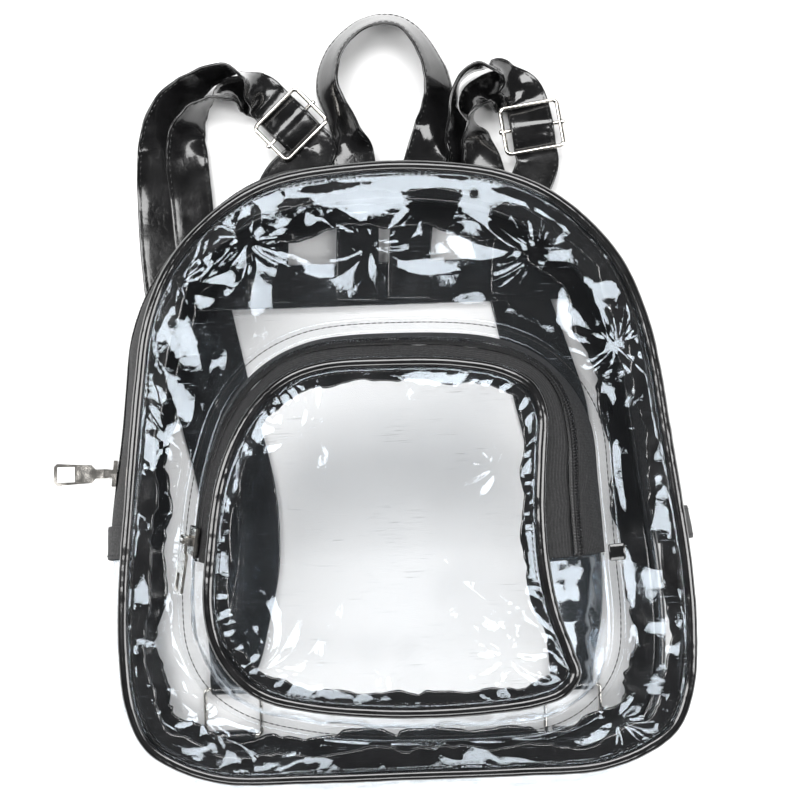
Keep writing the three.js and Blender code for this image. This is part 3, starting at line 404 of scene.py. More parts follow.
# A tube along points: half its width across the given side and half its height across the other
def tube(points, side, halfWidth, halfHeight, sidesCount):
    along = unit(np.gradient(points, axis=0))
    up = unit(np.cross(along, side))
    across = unit(np.cross(up, along))
    turns = circle(sidesCount)
    sections = (
        points[:, None]
        + across[:, None] * np.cos(turns)[None, :, None] * halfWidth
        + up[:, None] * np.sin(turns)[None, :, None] * halfHeight
    )
    return sections.reshape(-1, 3), sweep(sections)


# A row of stitches along points, lying on a surface that faces up
def stitches(points, up, pitch, length, width, closed=False):
    places, along, shares = evenly(points, pitch, closed)
    if np.ndim(up) == 1:
        faces = np.broadcast_to(up, places.shape)
    else:
        source = np.linspace(0, 1, len(up))
        faces = np.stack([np.interp(shares, source, up[:, axis]) for axis in range(3)], axis=-1)
    side = unit(np.cross(faces, along))
    template, templateFaces = barTemplate(length, width, width * 0.8, 5, (0.5, 1.0, 0.5))
    return copies(template, templateFaces, places, along, side, unit(np.cross(along, side)))


# Faces after the first few parts are thread
def threadAfter(made, parts, count):
    first = sum(len(faces) for _, faces in parts[:count])
    for face in made.data.polygons[first:]:
        face.material_index = 1
    return made


def ride(made, body, slot, *nodes):
    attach(made, body)
    if nodes:
        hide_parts(*nodes)
    return made


print("sheets")

# Folds of the front panel: share around, spread around, rise, where the fold crests from edge to pocket
panelFolds = [
    (0.055, 0.018, 1.8, 0.5), (0.17, 0.016, 3.4, 0.4), (0.25, 0.02, 1.8, 0.5), (0.33, 0.018, 2.8, 0.45),
    (0.39, 0.02, 3.8, 0.5), (0.45, 0.02, 3.4, 0.6), (0.52, 0.02, 2.9, 0.5), (0.57, 0.018, 3.8, 0.55),
    (0.63, 0.02, 4.2, 0.5), (0.7, 0.02, 2.8, 0.5), (0.79, 0.018, 2.4, 0.5), (0.88, 0.02, 3.0, 0.4),
    (0.94, 0.018, 1.8, 0.5),
]
pocketFolds = [
    (0.12, 0.03, 2.2, 0.35), (0.2, 0.025, 2.6, 0.3), (0.46, 0.03, 1.4, 0.3), (0.62, 0.025, 1.8, 0.3),
    (0.9, 0.03, 2.2, 0.35),
]
# Places where a panel is crumpled: across, up, reach, height
panelBursts = [
    (-104, 242, 46, 1.9), (-70, 262, 40, 1.6), (66, 250, 46, 1.9), (104, 205, 42, 1.6),
    (-112, 170, 40, 1.6), (98, 26, 40, 1.6), (-100, 34, 40, 1.6), (-12, 258, 44, 1.4),
]
pocketBursts = [
    (-70, 60, 34, 1.3), (46, 64, 34, 1.4), (44, 150, 30, 0.9), (-50, 168, 26, 0.8), (-10, 40, 30, 0.9),
]


def foldRise(folds, around, inward):
    rise = 0
    for place, spread, height, crest in folds:
        gap = np.abs(around - place)
        near = np.minimum(gap, 1 - gap) / spread
        shape = np.where(inward < crest, inward / crest, (1 - inward) / (1 - crest))
        rise = rise + height * np.exp(-near * near) * np.sin(np.clip(shape, 0, 1) * math.pi / 2)
    return rise


# Uneven ridges that run out from each crumpled place
def burstRise(bursts, x, y):
    rise = 0
    for number, (across, up, reach, height) in enumerate(bursts):
        dx, dy = x - across, y - up
        away = np.maximum(np.hypot(dx, dy), 0.01)
        swing = away / reach * 1.5
        rayX, rayY = dx / away + swing * 0.5, dy / away - swing * 0.3
        ridge = 0.6 - 2 * np.abs(noise(rayX, rayY, 0.55, 300 + number))
        rise = rise + height * ridge * np.exp(-((away / reach) ** 2)) * smooth(0, 12, away)
    return rise


# Rings of points from an outer loop to an inner loop or a point
def ringsBetween(outer, inner, shares):
    share = np.asarray(shares)[:, None, None]
    return outer * (1 - share) + inner * share


# Rings of a sheet from its edge to a middle point, as one thin closed body
def ringSheet(name, rings, middle):
    rows, count = rings.shape[:2]
    faces = gridFaces(rows, count, False, True)
    last = (rows - 1) * count
    faces += [(last + step, last + (step + 1) % count, rows * count) for step in range(count)]
    points = np.vstack([rings.reshape(-1, 3), [middle]])
    return thicken(faceOut(meshObject(name, points, faces)), bag["sheet"])


frontSheet = {
    "around": 620, "rings": 46, "innerRings": 22, "inset": 5.4,
    "overSeam": 1.3, "belowTop": 0.4, "rise": 0.12,
    "gather": 0.9, "gatherScale": 5.5, "pucker": 0.6, "puckerScale": 11,
    "broad": 2.4, "broadScale": 30, "wave": 0.7, "waveScale": 14, "crease": 0.5, "creaseScale": 22,
    "slack": 1.4, "slackWave": 0.9, "slackScale": 26,
}


def frontHeight(around, inward, x, y):
    size = frontSheet
    run = around * body.length
    rim = np.exp(-inward * 5) * smooth(0, 0.05, inward)
    gather = size["gather"] * rim * noise(run, inward * 12, size["gatherScale"], 31)
    gather = gather + size["pucker"] * rim * noise(run, 0 * x, size["puckerScale"], 32)
    wave = size["broad"] * noise(x, y, size["broadScale"], 41)
    wave = wave + size["wave"] * noise(x, y, size["waveScale"], 42)
    patch = smooth(-0.2, 0.5, noise(x, y, 50, 44))
    crease = size["crease"] * (1 - 3 * np.abs(noise(x, y, size["creaseScale"], 43))) * patch
    wrinkles = foldRise(panelFolds, around, inward) + (wave + crease) + burstRise(panelBursts, x, y)
    return gather + smooth(0, 0.12, inward) * smooth(1.0, 0.82, inward) * wrinkles


def makeFrontPanel():
    size = frontSheet
    around = np.arange(size["around"]) / size["around"]
    edge = body.inset(around, np.full(len(around), size["inset"]), 0.0)
    inner = pocketSeam.inset(around, np.full(len(around), -pocket["flangeGap"] - pocket["flange"]), 0.0)
    shares = np.linspace(0, 1, size["rings"])
    rings = ringsBetween(edge, inner, shares)
    inward = shares[:, None] + 0 * around
    low, high = frontSeamZ + size["overSeam"], frontTopZ - size["belowTop"]
    wrinkles = frontHeight(around + 0 * inward, inward, rings[..., 0], rings[..., 1])
    rings[..., 2] = low + (high - low) * smooth(0, size["rise"], inward) + wrinkles
    # The sheet goes on under the pocket and hangs a little there
    middle = np.array([pocket["offset"][0], pocket["offset"][1] + pocket["height"] / 2, frontTopZ - 2])
    shares = np.linspace(0, 1, size["innerRings"])[1:-1]
    under = ringsBetween(inner, middle, shares)
    slack = size["slack"] + size["slackWave"] * noise(under[..., 0], under[..., 1], size["slackScale"], 51)
    under[..., 2] = frontTopZ - 0.5 - smooth(0, 0.3, shares)[:, None] * slack
    return ringSheet("front_sheet", np.concatenate([rings, under]), middle)


backSheet = {"around": 260, "rings": 44, "inset": 5.6, "sag": 0.5, "wave": 0.8, "waveScale": 30}


def makeBackPanel():
    size = backSheet
    around = np.arange(size["around"]) / size["around"]
    edge = bodyBack.inset(around, np.full(len(around), size["inset"]), 0.0)
    middle = np.array([bag["backDrift"][0], bag["backDrift"][1] + bag["height"] / 2, 0.0])
    top = backSeamZ - panelSeat
    shares = np.linspace(0, 1, size["rings"])[:-1]
    rings = ringsBetween(edge, middle, shares)
    wave = size["wave"] + size["wave"] * noise(rings[..., 0], rings[..., 1], size["waveScale"], 61)
    rings[..., 2] = top - size["sag"] + smooth(0, 0.1, shares)[:, None] * wave
    middle[2] = top + 0.3
    return ringSheet("back_sheet", rings, middle)


pocketSheet = {
    "around": 420, "rings": 56, "inset": 5.2, "overSeam": 1.2, "overPiping": 0.6, "flatFrom": 0.7,
    "gather": 0.8, "gatherScale": 5.0, "broad": 0.75, "broadScale": 24, "wave": 0.35, "waveScale": 11,
}


def makePocketPanel():
    size = pocketSheet
    around = np.arange(size["around"]) / size["around"]
    edge = pocketFront.inset(around, np.full(len(around), size["inset"]), 0.0)
    middle = edge.mean(axis=0)
    shares = np.linspace(0, 1, size["rings"])[:-1]
    rings = ringsBetween(edge, middle, shares)
    x, y = rings[..., 0], rings[..., 1]
    away = shares[:, None] + 0 * around
    shape = np.clip(away / size["flatFrom"], 0, 1)
    sag = pocket["depth"] * pocket["sag"] * np.sin(shape * math.pi / 2) ** 2
    rim = np.exp(-away * 9) * smooth(0, 0.04, away)
    gather = size["gather"] * rim * noise(around * pocketFront.length, 0 * x, size["gatherScale"], 71)
    wave = size["broad"] * noise(x, y, size["broadScale"], 72)
    wave = wave + size["wave"] * noise(x, y, size["waveScale"], 73)
    wave = wave + burstRise(pocketBursts, x, y)
    low = pocketSeamZ + size["overSeam"]
    high = pocketSeamZ + panelSeat + size["overPiping"]
    wrinkles = smooth(0, 0.14, away) * (foldRise(pocketFolds, around, shape) + wave)
    rings[..., 2] = low + (high - low) * smooth(0, 0.1, away) - sag + gather + wrinkles
    middle[2] = rings[-1, :, 2].mean()
    return ringSheet("pocket_sheet", rings, middle)


# A strip of a wall between two shares around and two shares up; ripple swells it outwards
def wallStrip(name, wall, start, end, low, high, thickness, offset, count, levels, ripple):
    around = np.linspace(start, end, count + 1)
    low = low(around) if callable(low) else np.full(len(around), float(low))
    high = high(around) if callable(high) else np.full(len(around), float(high))
    share = low[:, None] + (high - low)[:, None] * np.linspace(0, 1, levels + 1)
    swell = ripple(around[:, None] * wall.low.length + 0 * share, share)
    outer = wall.points(around, share, offset + swell)
    inner = wall.points(around, share, offset + swell - thickness)
    sections = np.concatenate([outer, inner[:, ::-1]], axis=1)
    return joinedObject(name, [(sections.reshape(-1, 3), sweep(sections))])


def sheetRipple(size, seed):
    def ripple(along, share):
        fade = np.clip(4 * share * (1 - share), 0, 1) ** 0.5
        wave = noise(along, share * 40, 16, seed) + 0.45 * noise(along, share * 60, 7, seed + 1)
        crease = 0.8 * (1 - 3 * np.abs(noise(along, share * 30, 24, seed + 2)))
        return size * fade * (wave + crease)
    return ripple


def tapeEnd(wall, side):
    return lambda around: 0.5 + side * (coil["width"] / 2 + 0.1) / wall.frame(around)[4]


bodySlit = bag["gap"] / body.length
pocketSlit = bag["gap"] / pocketSeam.length

# The clear walls, from the left end of a zip under the bag to its right end
gusset = {"offset": -0.2, "ripple": 1.5, "count": 460, "levels": 22}
pocketGusset = {"offset": -0.2, "ripple": 0.9, "count": 360, "levels": 14}


def clearGusset(name, wall, left, right, slit, size, seed):
    return wallStrip(name, wall, left + slit, 1 + right - slit, 0, 1, bag["sheet"], size["offset"],
                     size["count"], size["levels"], sheetRipple(size["ripple"], seed))


frontPanel = makeFrontPanel()
backPanel = makeBackPanel()
lowerGusset = clearGusset("lower_gusset_sheet", bodyWall, zipLeft, zipRight, bodySlit, gusset, 81)
pocketPanel = makePocketPanel()
pocketWallSheet = clearGusset("pocket_gusset_sheet", pocketWall, pocketZipLeft, pocketZipRight, pocketSlit,
                              pocketGusset, 91)
clearPieces = [
    ride(frontPanel, "bag", "clear_sheet", "front_panel"),
    ride(backPanel, "bag", "clear_sheet", "back_panel"),
    ride(lowerGusset, "bag", "clear_sheet", "lower_gusset"),
    ride(pocketPanel, "bag", "clear_sheet", "pocket_panel"),
    ride(pocketWallSheet, "bag", "clear_sheet", "pocket_gusset"),
]


# The outline of a panel inside its seam, worked out and not used further
def declarePanel(outline, inset):
    line = outline.inset(np.arange(600) / 600, np.full(600, inset), 0.0)[:, :2]


declarePanel(body, frontSheet["inset"])
declarePanel(bodyBack, backSheet["inset"])
declarePanel(pocketFront, pocketSheet["inset"])


# A thin closed strip between an upper surface and the same surface lower down
def closedStrip(upper, wall):
    lower = upper.copy()
    lower[..., 2] -= wall
    sections = np.concatenate([upper, lower[:, ::-1]], axis=1)
    return sections.reshape(-1, 3), sweep(sections, True)


flange = {"count": 500, "tuck": 1.2, "lift": 0.35, "wave": 0.3, "waveScale": 9, "thread": 3.2}


def makeFlange():
    count = flange["count"]
    around = np.arange(count) / count
    outward = inSpace(pocketSeam.outward(around))
    foot = pocketSeam.inset(around, np.zeros(count), pocketBaseZ + flange["lift"])
    across = np.linspace(pocket["flangeGap"] - flange["tuck"], pocket["flangeGap"] + pocket["flange"], 7)
    run = around[:, None] * pocketSeam.length + 0 * across
    wave = flange["wave"] * noise(run, across + 0 * run, flange["waveScale"], 101)
    upper = foot[:, None] + outward[:, None] * across[None, :, None]
    upper[..., 2] += wave * np.linspace(0, 1, 7) + 0.3
    made = joinedObject("pocket_flange_sheet", [closedStrip(upper, bag["sheet"])])
    thread = foot + outward * (pocket["flangeGap"] + flange["thread"])
    thread[:, 2] += 0.75
    sewn = joinedObject("pocket_flange_thread", [stitches(thread, upward, 3.0, 2.5, 0.62, True)])
    return ride(made, "bag", "clear_sheet", "pocket_flange"), ride(sewn, "bag", "black_patent")


flangeSheet, flangeThread = makeFlange()
clearPieces.append(flangeSheet)

print("trim and zips")
piping = {
    "count": 760, "sides": 14, "uneven": 0.03, "bumpy": 0.02, "rag": 0.14, "notch": 0.1,
    "curl": 0.35, "stripWall": 0.7, "threadInset": 1.5, "stitch": (3.0, 2.3, 0.6),
}


# Round piping with a ragged seam strip inside it, and the thread that sews it down
def makePiping(name, outline, z, stripWidth, face, seed, node, threadUp):
    count = piping["count"]
    around = np.arange(count) / count
    run = around * outline.length
    uneven = piping["uneven"] * noise(run, 0 * run, 7, seed)
    uneven = uneven + piping["bumpy"] * noise(run, 0 * run, 2.6, seed + 1)
    radius = (bag["piping"] * (1 + uneven))[:, None, None]
    outward = inSpace(outline.outward(around))
    middle = outline.inset(around, np.full(count, bag["piping"]), z)
    turns = circle(piping["sides"])
    cord = (
        middle[:, None]
        + outward[:, None] * (np.cos(turns)[None, :, None] * radius)
        + upward * (np.sin(turns)[None, :, None] * radius)
    )
    parts = [(cord.reshape(-1, 3), sweep(cord, True))]
    # The strip's raw edge, with the same cuts as the solid's
    step = around * 54
    ragged = 1 + piping["rag"] * np.sin(step * 2.4) + piping["notch"] * np.sin(step * 1.1)
    ragged = stripWidth * (ragged + piping["notch"] * noise(run, 0 * run, 4, seed + 2))
    across = np.linspace(0, 1, 8)
    lift = piping["curl"] * noise(run[:, None] + 0 * across, across * 9 + 0 * run[:, None], 6, seed + 3)
    reach = -(bag["piping"] * 0.7 + (ragged[:, None] + 0.9) * across)
    upper = middle[:, None] + outward[:, None] * reach[..., None]
    upper[..., 2] = z + face * (-0.25 + lift * across - 0.2 * across) + piping["stripWall"] / 2
    parts.append(closedStrip(upper, piping["stripWall"]))
    thread = outline.inset(around, np.full(count, 2 * bag["piping"] + piping["threadInset"]), threadUp)
    parts.append(stitches(thread, upward * face, *piping["stitch"], True))
    return ride(threadAfter(joinedObject(name, parts), parts, 2), "bag", "black_patent", node)


patentPieces = [
    makePiping("front_piping_cord", body, frontSeamZ, bag["frontStrip"], 1, 111, "front_piping",
               frontSeamZ + 2.2),
    makePiping("back_piping_cord", bodyBack, backSeamZ, bag["backStrip"], -1, 121, "back_piping",
               backSeamZ - 1.6),
    makePiping("pocket_piping_cord", pocketFront, pocketSeamZ, pocket["strip"], 1, 131, "pocket_piping",
               pocketSeamZ + 2.1),
]

tape = {"wall": 0.9, "offset": -0.1, "count": 320, "levels": 10, "ripple": 0.35}


# The upper or lower half of a zip's tape, from the wall's edge to its coil
def makeTape(name, wall, low, high, right, left, slit, node):
    made = wallStrip(name, wall, right + slit, left - slit, low, high, tape["wall"], tape["offset"],
                     tape["count"], tape["levels"], sheetRipple(tape["ripple"], 141))
    return ride(made, "bag", "zip_tape", node)


bodyZip = (zipRight, zipLeft, bodySlit)
pocketZip = (pocketZipRight, pocketZipLeft, pocketSlit)
tapePieces = [
    makeTape("main_tape_front", bodyWall, tapeEnd(bodyWall, 1), 1.0, *bodyZip, "zip_tape_front"),
    makeTape("main_tape_back", bodyWall, 0.0, tapeEnd(bodyWall, -1), *bodyZip, "zip_tape_back"),
    makeTape("pocket_tape_top", pocketWall, tapeEnd(pocketWall, 1), 1.0, *pocketZip, "pocket_tape_inner"),
    makeTape("pocket_tape_low", pocketWall, 0.0, tapeEnd(pocketWall, -1), *pocketZip, "pocket_tape_outer"),
]


# A nylon coil: two rows of short teeth that mesh along the middle of a wall, with a thread on each side
def makeCoil(name, wall, right, left, slit, node):
    start, end = right + slit, left - slit
    count = int(wall.low.length * (end - start) / coil["pitch"])
    fine = np.linspace(start, end, 1600)
    outs = wall.frame(fine)[2]
    parts = []
    for side in (-1, 1):
        around = start + (np.arange(count) + 0.5 + side * 0.25) / count * (end - start)
        _, up, out, along, height = wall.frame(around)
        place = wall.points(around, (0.5 + side * coil["row"] / height)[:, None], coil["lift"])[:, 0]
        slant = unit(up + along * coil["slant"] * side)
        template, faces = barTemplate(coil["width"] * coil["tooth"], *coil["toothSection"], 6)
        parts.append(copies(template, faces, place, slant, unit(np.cross(out, slant)), out))
        thread = wall.points(fine, (0.5 + side * coil["thread"] / wall.frame(fine)[4])[:, None], 0.5)[:, 0]
        parts.append(stitches(thread, outs, 2.2, 1.9, 0.5))
    core = wall.points(fine[::8], np.full((200, 1), 0.5), -coil["coreHalf"][1])[:, 0]
    parts.append(tube(core, wall.frame(fine[::8])[1], *coil["coreHalf"], 8))
    return ride(joinedObject(name, parts), "bag", "zip_coil", node)


coilPieces = [
    makeCoil("main_coil", bodyWall, *bodyZip, "main_zip_coil"),
    makeCoil("pocket_coil", pocketWall, *pocketZip, "pocket_zip_coil"),
]

endTab = {
    "count": 16, "levels": 40, "ripple": 0.25, "softEdge": 0.35, "threadAt": 0.78,
    "stitch": (3.0, 2.3, 0.55),
}
tabShare = bag["endTab"] / 2 / body.length


# The cross tab over one end of the main zip, with a row of stitches along each side
def makeEndTab(name, middle, node):
    offset = bag["tape"] + coil["thickness"] / 2
    made = wallStrip(name, bodyWall, middle - tabShare, middle + tabShare, 0.02, 0.98, bag["tape"], offset,
                     endTab["count"], endTab["levels"], sheetRipple(endTab["ripple"], 151))
    bevel = made.modifiers.new("soft edges", "BEVEL")
    bevel.width = endTab["softEdge"] * mm
    bevel.segments = 2
    rows = []
    for side in (-1, 1):
        share = np.linspace(0.05, 0.95, 60)
        around = np.array([middle + side * endTab["threadAt"] * tabShare])
        line = bodyWall.points(around, share[None, :], offset + 0.12)[0]
        rows.append(stitches(line, np.repeat(bodyWall.frame(around)[2], 60, axis=0), *endTab["stitch"]))
    thread = ride(joinedObject(name + "_thread", rows), "bag", "black_patent")
    return [ride(made, "bag", "black_patent", node), thread]


endTabs = makeEndTab("end_tab_left", zipLeft, "zip_end_tab_left")
endTabs += makeEndTab("end_tab_right", zipRight, "zip_end_tab_right")

# A small square plate with round corners: scale and height of each ring of its section
plate = {"size": 8, "round": 1, "rings": ((0.93, -0.5), (1, -0.3), (1, 0.3), (0.93, 0.5))}


# The end of the pocket zip's tape, sticking out of the seam on the right
def makeZipEnd():
    out = pocketSeam.outward(np.array([pocketZipRight]))[0]
    middle = pocketSeam.place(np.array([pocketZipRight]))[0] + out * (pocket["flangeGap"] + plate["size"] / 2)
    z = pocketBaseZ + 1.0 + bag["gap"] + bag["tape"] / 2
    spin = np.array([[out[0], out[1]], [-out[1], out[0]]])
    corners = []
    for signX, signY, quarter in ((1, 1, 0), (-1, 1, 1), (-1, -1, 2), (1, -1, 3)):
        for turn in (quarter + np.linspace(0, 1, 6)) * math.pi / 2:
            inset = plate["size"] / 2 - plate["round"]
            corners.append((signX * inset + math.cos(turn), signY * inset + math.sin(turn)))
    sections = []
    for scale, height in plate["rings"]:
        flat = np.array(corners) * scale @ spin + middle
        sections.append(np.concatenate([flat, np.full((24, 1), z + height * bag["tape"])], axis=1))
    made = joinedObject("pocket_zip_end", [(np.vstack(sections), sweep(sections))])
    return ride(made, "bag", "black_patent", "pocket_zip_tail")


patentPieces.append(makeZipEnd())

print("straps")
# Rows of a strap: across as a share of the body's width, up as a share of its height, lean in degrees, and
# layers of strap below
leftLeg = [(-0.236, 0.79, 0), (-0.236, 0.865, 0), (-0.225, 0.952, 0), (-0.197, 1.008, 0)]
leftArch = [
    (-0.243, 1.162, -142, 2.4), (-0.264, 1.183, -104, 2.4), (-0.297, 1.194, -84, 2.7),
    (-0.335, 1.184, -72, 1.5), (-0.372, 1.164, -56, 0), (-0.406, 1.135, -48, 0),
    (-0.424, 1.098, -34, 0), (-0.432, 1.055, -14, 0), (-0.436, 0.978, 0, 0), (-0.434, 0.891, 0, 0),
    (-0.426, 0.803, 0, 0), (-0.404, 0.716, 0, 0), (-0.371, 0.592, 0, 0), (-0.345, 0.487, 0, 0),
    (-0.332, 0.399, 0, 0), (-0.33, 0.3, 0, 0), (-0.333, 0.2, 0, 0),
]
leftReturn = [
    (-0.313, 0.18, 0, 1.7), (-0.292, 0.255, 0, 1), (-0.274, 0.33, 0, 1), (-0.271, 0.405, 0, 1),
    (-0.279, 0.486, 0, 1), (-0.302, 0.581, 0, 1), (-0.32, 0.659, 0, 1), (-0.35, 0.801, 0, 1),
    (-0.367, 0.889, 0, 1), (-0.374, 0.976, 0, 1), (-0.378, 1.045, 14, 1), (-0.376, 1.088, 38, 0.4),
    (-0.358, 1.122, 66, 0), (-0.332, 1.143, 90, 0), (-0.306, 1.155, 122, 0), (-0.28, 1.158, 156, 0),
    (-0.255, 1.156, 176, 0.8),
]
rightLeg = [(0.216, 0.79, 0), (0.221, 0.849, 0), (0.235, 0.936, 0), (0.258, 0.98, 0)]
rightArch = [
    (0.219, 1.163, -148, 1.9), (0.2, 1.178, -108, 3), (0.166, 1.184, -90, 3), (0.134, 1.165, -90, 2.6),
    (0.119, 1.12, -80, 1.4), (0.129, 1.065, -44, 0), (0.15, 1.015, -10, 0), (0.181, 0.905, 0, 0),
    (0.219, 0.776, 0, 0), (0.245, 0.653, 0, 0), (0.263, 0.575, 0, 0), (0.287, 0.479, 0, 0),
    (0.302, 0.375, 0, 0), (0.311, 0.26, 0, 0), (0.303, 0.17, 0, 0),
]
rightReturn = [
    (0.309, 0.165, 0, 1.7), (0.326, 0.245, 0, 1), (0.326, 0.37, 0, 1), (0.318, 0.478, 0, 1),
    (0.312, 0.585, 0, 1), (0.294, 0.65, 0, 1), (0.25, 0.776, 0, 1), (0.205, 0.905, 0, 1),
    (0.172, 1.012, 12, 1.3), (0.16, 1.06, 42, 0.8), (0.154, 1.092, 76, 0), (0.161, 1.122, 128, 0),
    (0.179, 1.138, 168, 0.4), (0.208, 1.148, 180, 0.9),
]
handleRows = [
    (-0.071, 0.79, 0), (-0.068, 0.857, 0), (-0.064, 0.964, 0), (-0.068, 1.041, -8),
    (-0.081, 1.087, -50), (-0.1, 1.129, -58), (-0.112, 1.16, -58), (-0.109, 1.191, -60),
    (-0.097, 1.222, -64), (-0.075, 1.247, -66), (-0.043, 1.267, -66), (0, 1.276, -66),
    (0.035, 1.266, -66), (0.06, 1.241, -64), (0.078, 1.211, -60), (0.09, 1.181, -54),
    (0.094, 1.15, -48), (0.092, 1.12, -38), (0.083, 1.081, -18), (0.068, 1.036, 0), (0.043, 0.96, 0),
    (0.028, 0.853, 0), (0.025, 0.79, 0),
]
# The upper half of a strap's section, across and thickness as shares. A groove holds each stitch row
strapProfile = [
    (-1, 0.35), (-0.975, 0.8), (-0.92, 1), (-0.83, 0.8), (-0.74, 1), (-0.4, 0.93), (0, 0.95),
    (0.4, 0.93), (0.74, 1), (0.83, 0.8), (0.92, 1), (0.975, 0.8), (1, 0.35),
]


def routeOf(rows):
    stops = []
    for across, up, leanDegrees, *layer in rows:
        lean = math.radians(leanDegrees)
        half = abs(math.sin(lean)) * strap["width"] / 2 + abs(math.cos(lean)) * strap["wall"] / 2
        z = half + layer[0] * strapPitch if layer else max(legMiddle, half)
        stops.append((np.array([across * bag["width"], up * bag["height"], z]), lean))
    return stops


def runOf(points):
    return np.concatenate([[0], np.cumsum(np.linalg.norm(np.diff(points, axis=0), axis=1))])


# A sewn strap from the middles, sides and faces of its sections
def sewnStrap(name, middles, side, face, halfWidth, halfWall, seed, node):
    run = runOf(middles)
    across = np.array([place for place, _ in strapProfile])
    depth = np.array([share for _, share in strapProfile]) * halfWall
    wave = strap["crease"] * noise(run[:, None], across * 6 + 0 * run[:, None], 11, seed)
    wave = wave + strap["fineCrease"] * noise(run[:, None], across * 8 + 0 * run[:, None], 4, seed + 1)
    width = halfWidth * (1 + strap["uneven"] * noise(run, 0 * run, 9, seed + 2))
    base = middles[:, None] + side[:, None] * (across[None] * width[:, None])[..., None]
    upper = base + face[:, None] * (depth[None] + wave)[..., None]
    lower = base + face[:, None] * (wave - depth[None])[..., None]
    sections = np.concatenate([upper, lower[:, ::-1]], axis=1)
    parts = [(sections.reshape(-1, 3), sweep(sections))]
    for row in (-strap["stitchAt"], strap["stitchAt"]):
        for facing in (-1, 1):
            line = middles + side * (row * width[:, None]) + face * facing * halfWall * 0.86
            parts.append(stitches(line, face * facing, *strap["stitch"]))
    return ride(threadAfter(joinedObject(name, parts), parts, 1), "bag", "black_patent", node)


# A strap along a route, turned about its own line by the route's lean
def ribbon(name, route, seed, node):
    places = np.array([place for place, _ in route])
    leans = np.array([lean for _, lean in route])
    spans = len(route) - 1
    fine = np.linspace(0, 1, spans * 60 + 1)
    run = runOf(spline(places, False, fine))
    shares = np.interp(np.linspace(0, run[-1], int(run[-1] / strap["spacing"])), run, fine)
    middles = spline(places, False, shares)
    along = unit(spline(places, False, shares + 2e-5) - spline(places, False, shares - 2e-5))
    span = np.minimum((shares * spans).astype(int), spans - 1)
    within = smooth(0, 1, shares * spans - span)
    lean = (leans[span] * (1 - within) + leans[span + 1] * within)[:, None]
    # The level direction across the strap never flips, also where the strap turns straight up
    levels = []
    last = np.array([-along[0, 1], along[0, 0], 0])
    for direction in along:
        level = np.array([-direction[1], direction[0], 0])
        if np.linalg.norm(level) < 0.3:
            level = last
        level = level / np.linalg.norm(level)
        last = level if level @ last >= 0 else -level
        levels.append(last)
    level = np.array(levels)
    level = unit(level - along * np.sum(level * along, axis=1)[:, None])
    side = level * np.cos(lean) + np.cross(along, level) * np.sin(lean)
    face = unit(np.cross(along, side))
    return sewnStrap(name, middles, side, face, strap["width"] / 2, strap["wall"] / 2, seed, node)


# The strap goes under one end of the buckle, over its centre bar and under its other end
def buckleCrossing(share):
    turn = math.radians(share["turn"])
    travel = np.array([-math.sin(turn), math.cos(turn), 0])
    aside = np.array([-travel[1], travel[0], 0])
    reach = buckle["along"] / 2 - wire["radius"]
    past = reach + 2.5 * wrapRadius
    bend = math.tan(math.radians(share["bend"])) / (2 * (past - reach))
    low, high = buckleZ - wrapRadius, buckleZ + wrapRadius
    under = low - strapPitch - bag["gap"]

    def at(distance, z):
        return placeOf(share, z) + travel * distance + aside * bend * max(distance - reach, 0) ** 2

    through = [at(-past, low), at(-reach, low), at(0, high), at(reach, low), at(past, low)]
    return through, [at(past, under), at(reach, under), at(reach / 2, low - strapPitch / 2), at(0, low)]


# A half turn about a wire that lies across, from below to above it. side is -1 towards the bottom seam
def halfTurn(x, y, side):
    turns = np.linspace(-math.pi / 2, math.pi / 2, 5)
    return [
        (np.array([x, y + side * math.cos(turn) * wrapRadius, ringZ + math.sin(turn) * wrapRadius]), 0.0)
        for turn in turns
    ]


def turnedOver(stops, turn):
    return [(place, lean + turn) for place, lean in stops]


def shoulderStrap(side, leg, arch, back, seed):
    shares = sides[side]
    through, end = buckleCrossing(shares["buckle"])
    middle = shares["ring"]["across"] * bag["width"]
    ringTop = shares["ring"]["up"] * bag["height"] + ring["along"] / 2 - wire["radius"]
    lead = ringTop + 3 * wrapRadius
    route = turnedOver(routeOf(leg) + [(place, 0.0) for place in through], -math.pi) + routeOf(arch)
    route += [(np.array([middle, lead, ringZ - wrapRadius]), 0.0)]
    route += halfTurn(middle, ringTop, -1) + [(np.array([middle, lead, ringZ + wrapRadius]), 0.0)]
    route += routeOf(back) + turnedOver([(place, 0.0) for place in end], math.pi)
    return ribbon("strap_sewn_" + side, route, seed, "strap_" + side)


def ringTab(side, seed):
    shares = sides[side]
    foot = shares["tabFoot"]
    middle = shares["ring"]["across"] * bag["width"]
    low = shares["ring"]["up"] * bag["height"] - ring["along"] / 2 + wire["radius"]
    route = [(placeOf(foot, ringZ - wrapRadius), 0.0)] + halfTurn(middle, low, 1)
    route += [(placeOf(foot, ringZ + wrapRadius), 0.0)]
    return ribbon("ring_tab_sewn_" + side, route, seed, "ring_tab_" + side)


# The flat band across the back panel, cut to the slant of its sides
def backBand():
    count = 120
    across = np.linspace(0, 1, count)[:, None]
    edges = []
    for height in (band["up"], band["up"] + band["height"]):
        shares = np.array([bodyBack.shareAt(height, side) for side in ("left", "right")])
        left, right = bodyBack.place(shares) - bodyBack.outward(shares) * bag["piping"]
        edges.append(left * (1 - across) + right * across)
    low, high = edges
    middles = np.concatenate([(low + high) / 2, np.full((count, 1), bandBottom + band["wall"] / 2)], axis=1)
    face = np.tile(upward, (count, 1))
    half = inSpace((high - low) / 2)
    return sewnStrap("back_band_sewn", middles, half, face, 1.0, band["wall"] / 2 - 0.05, 171, "back_band")


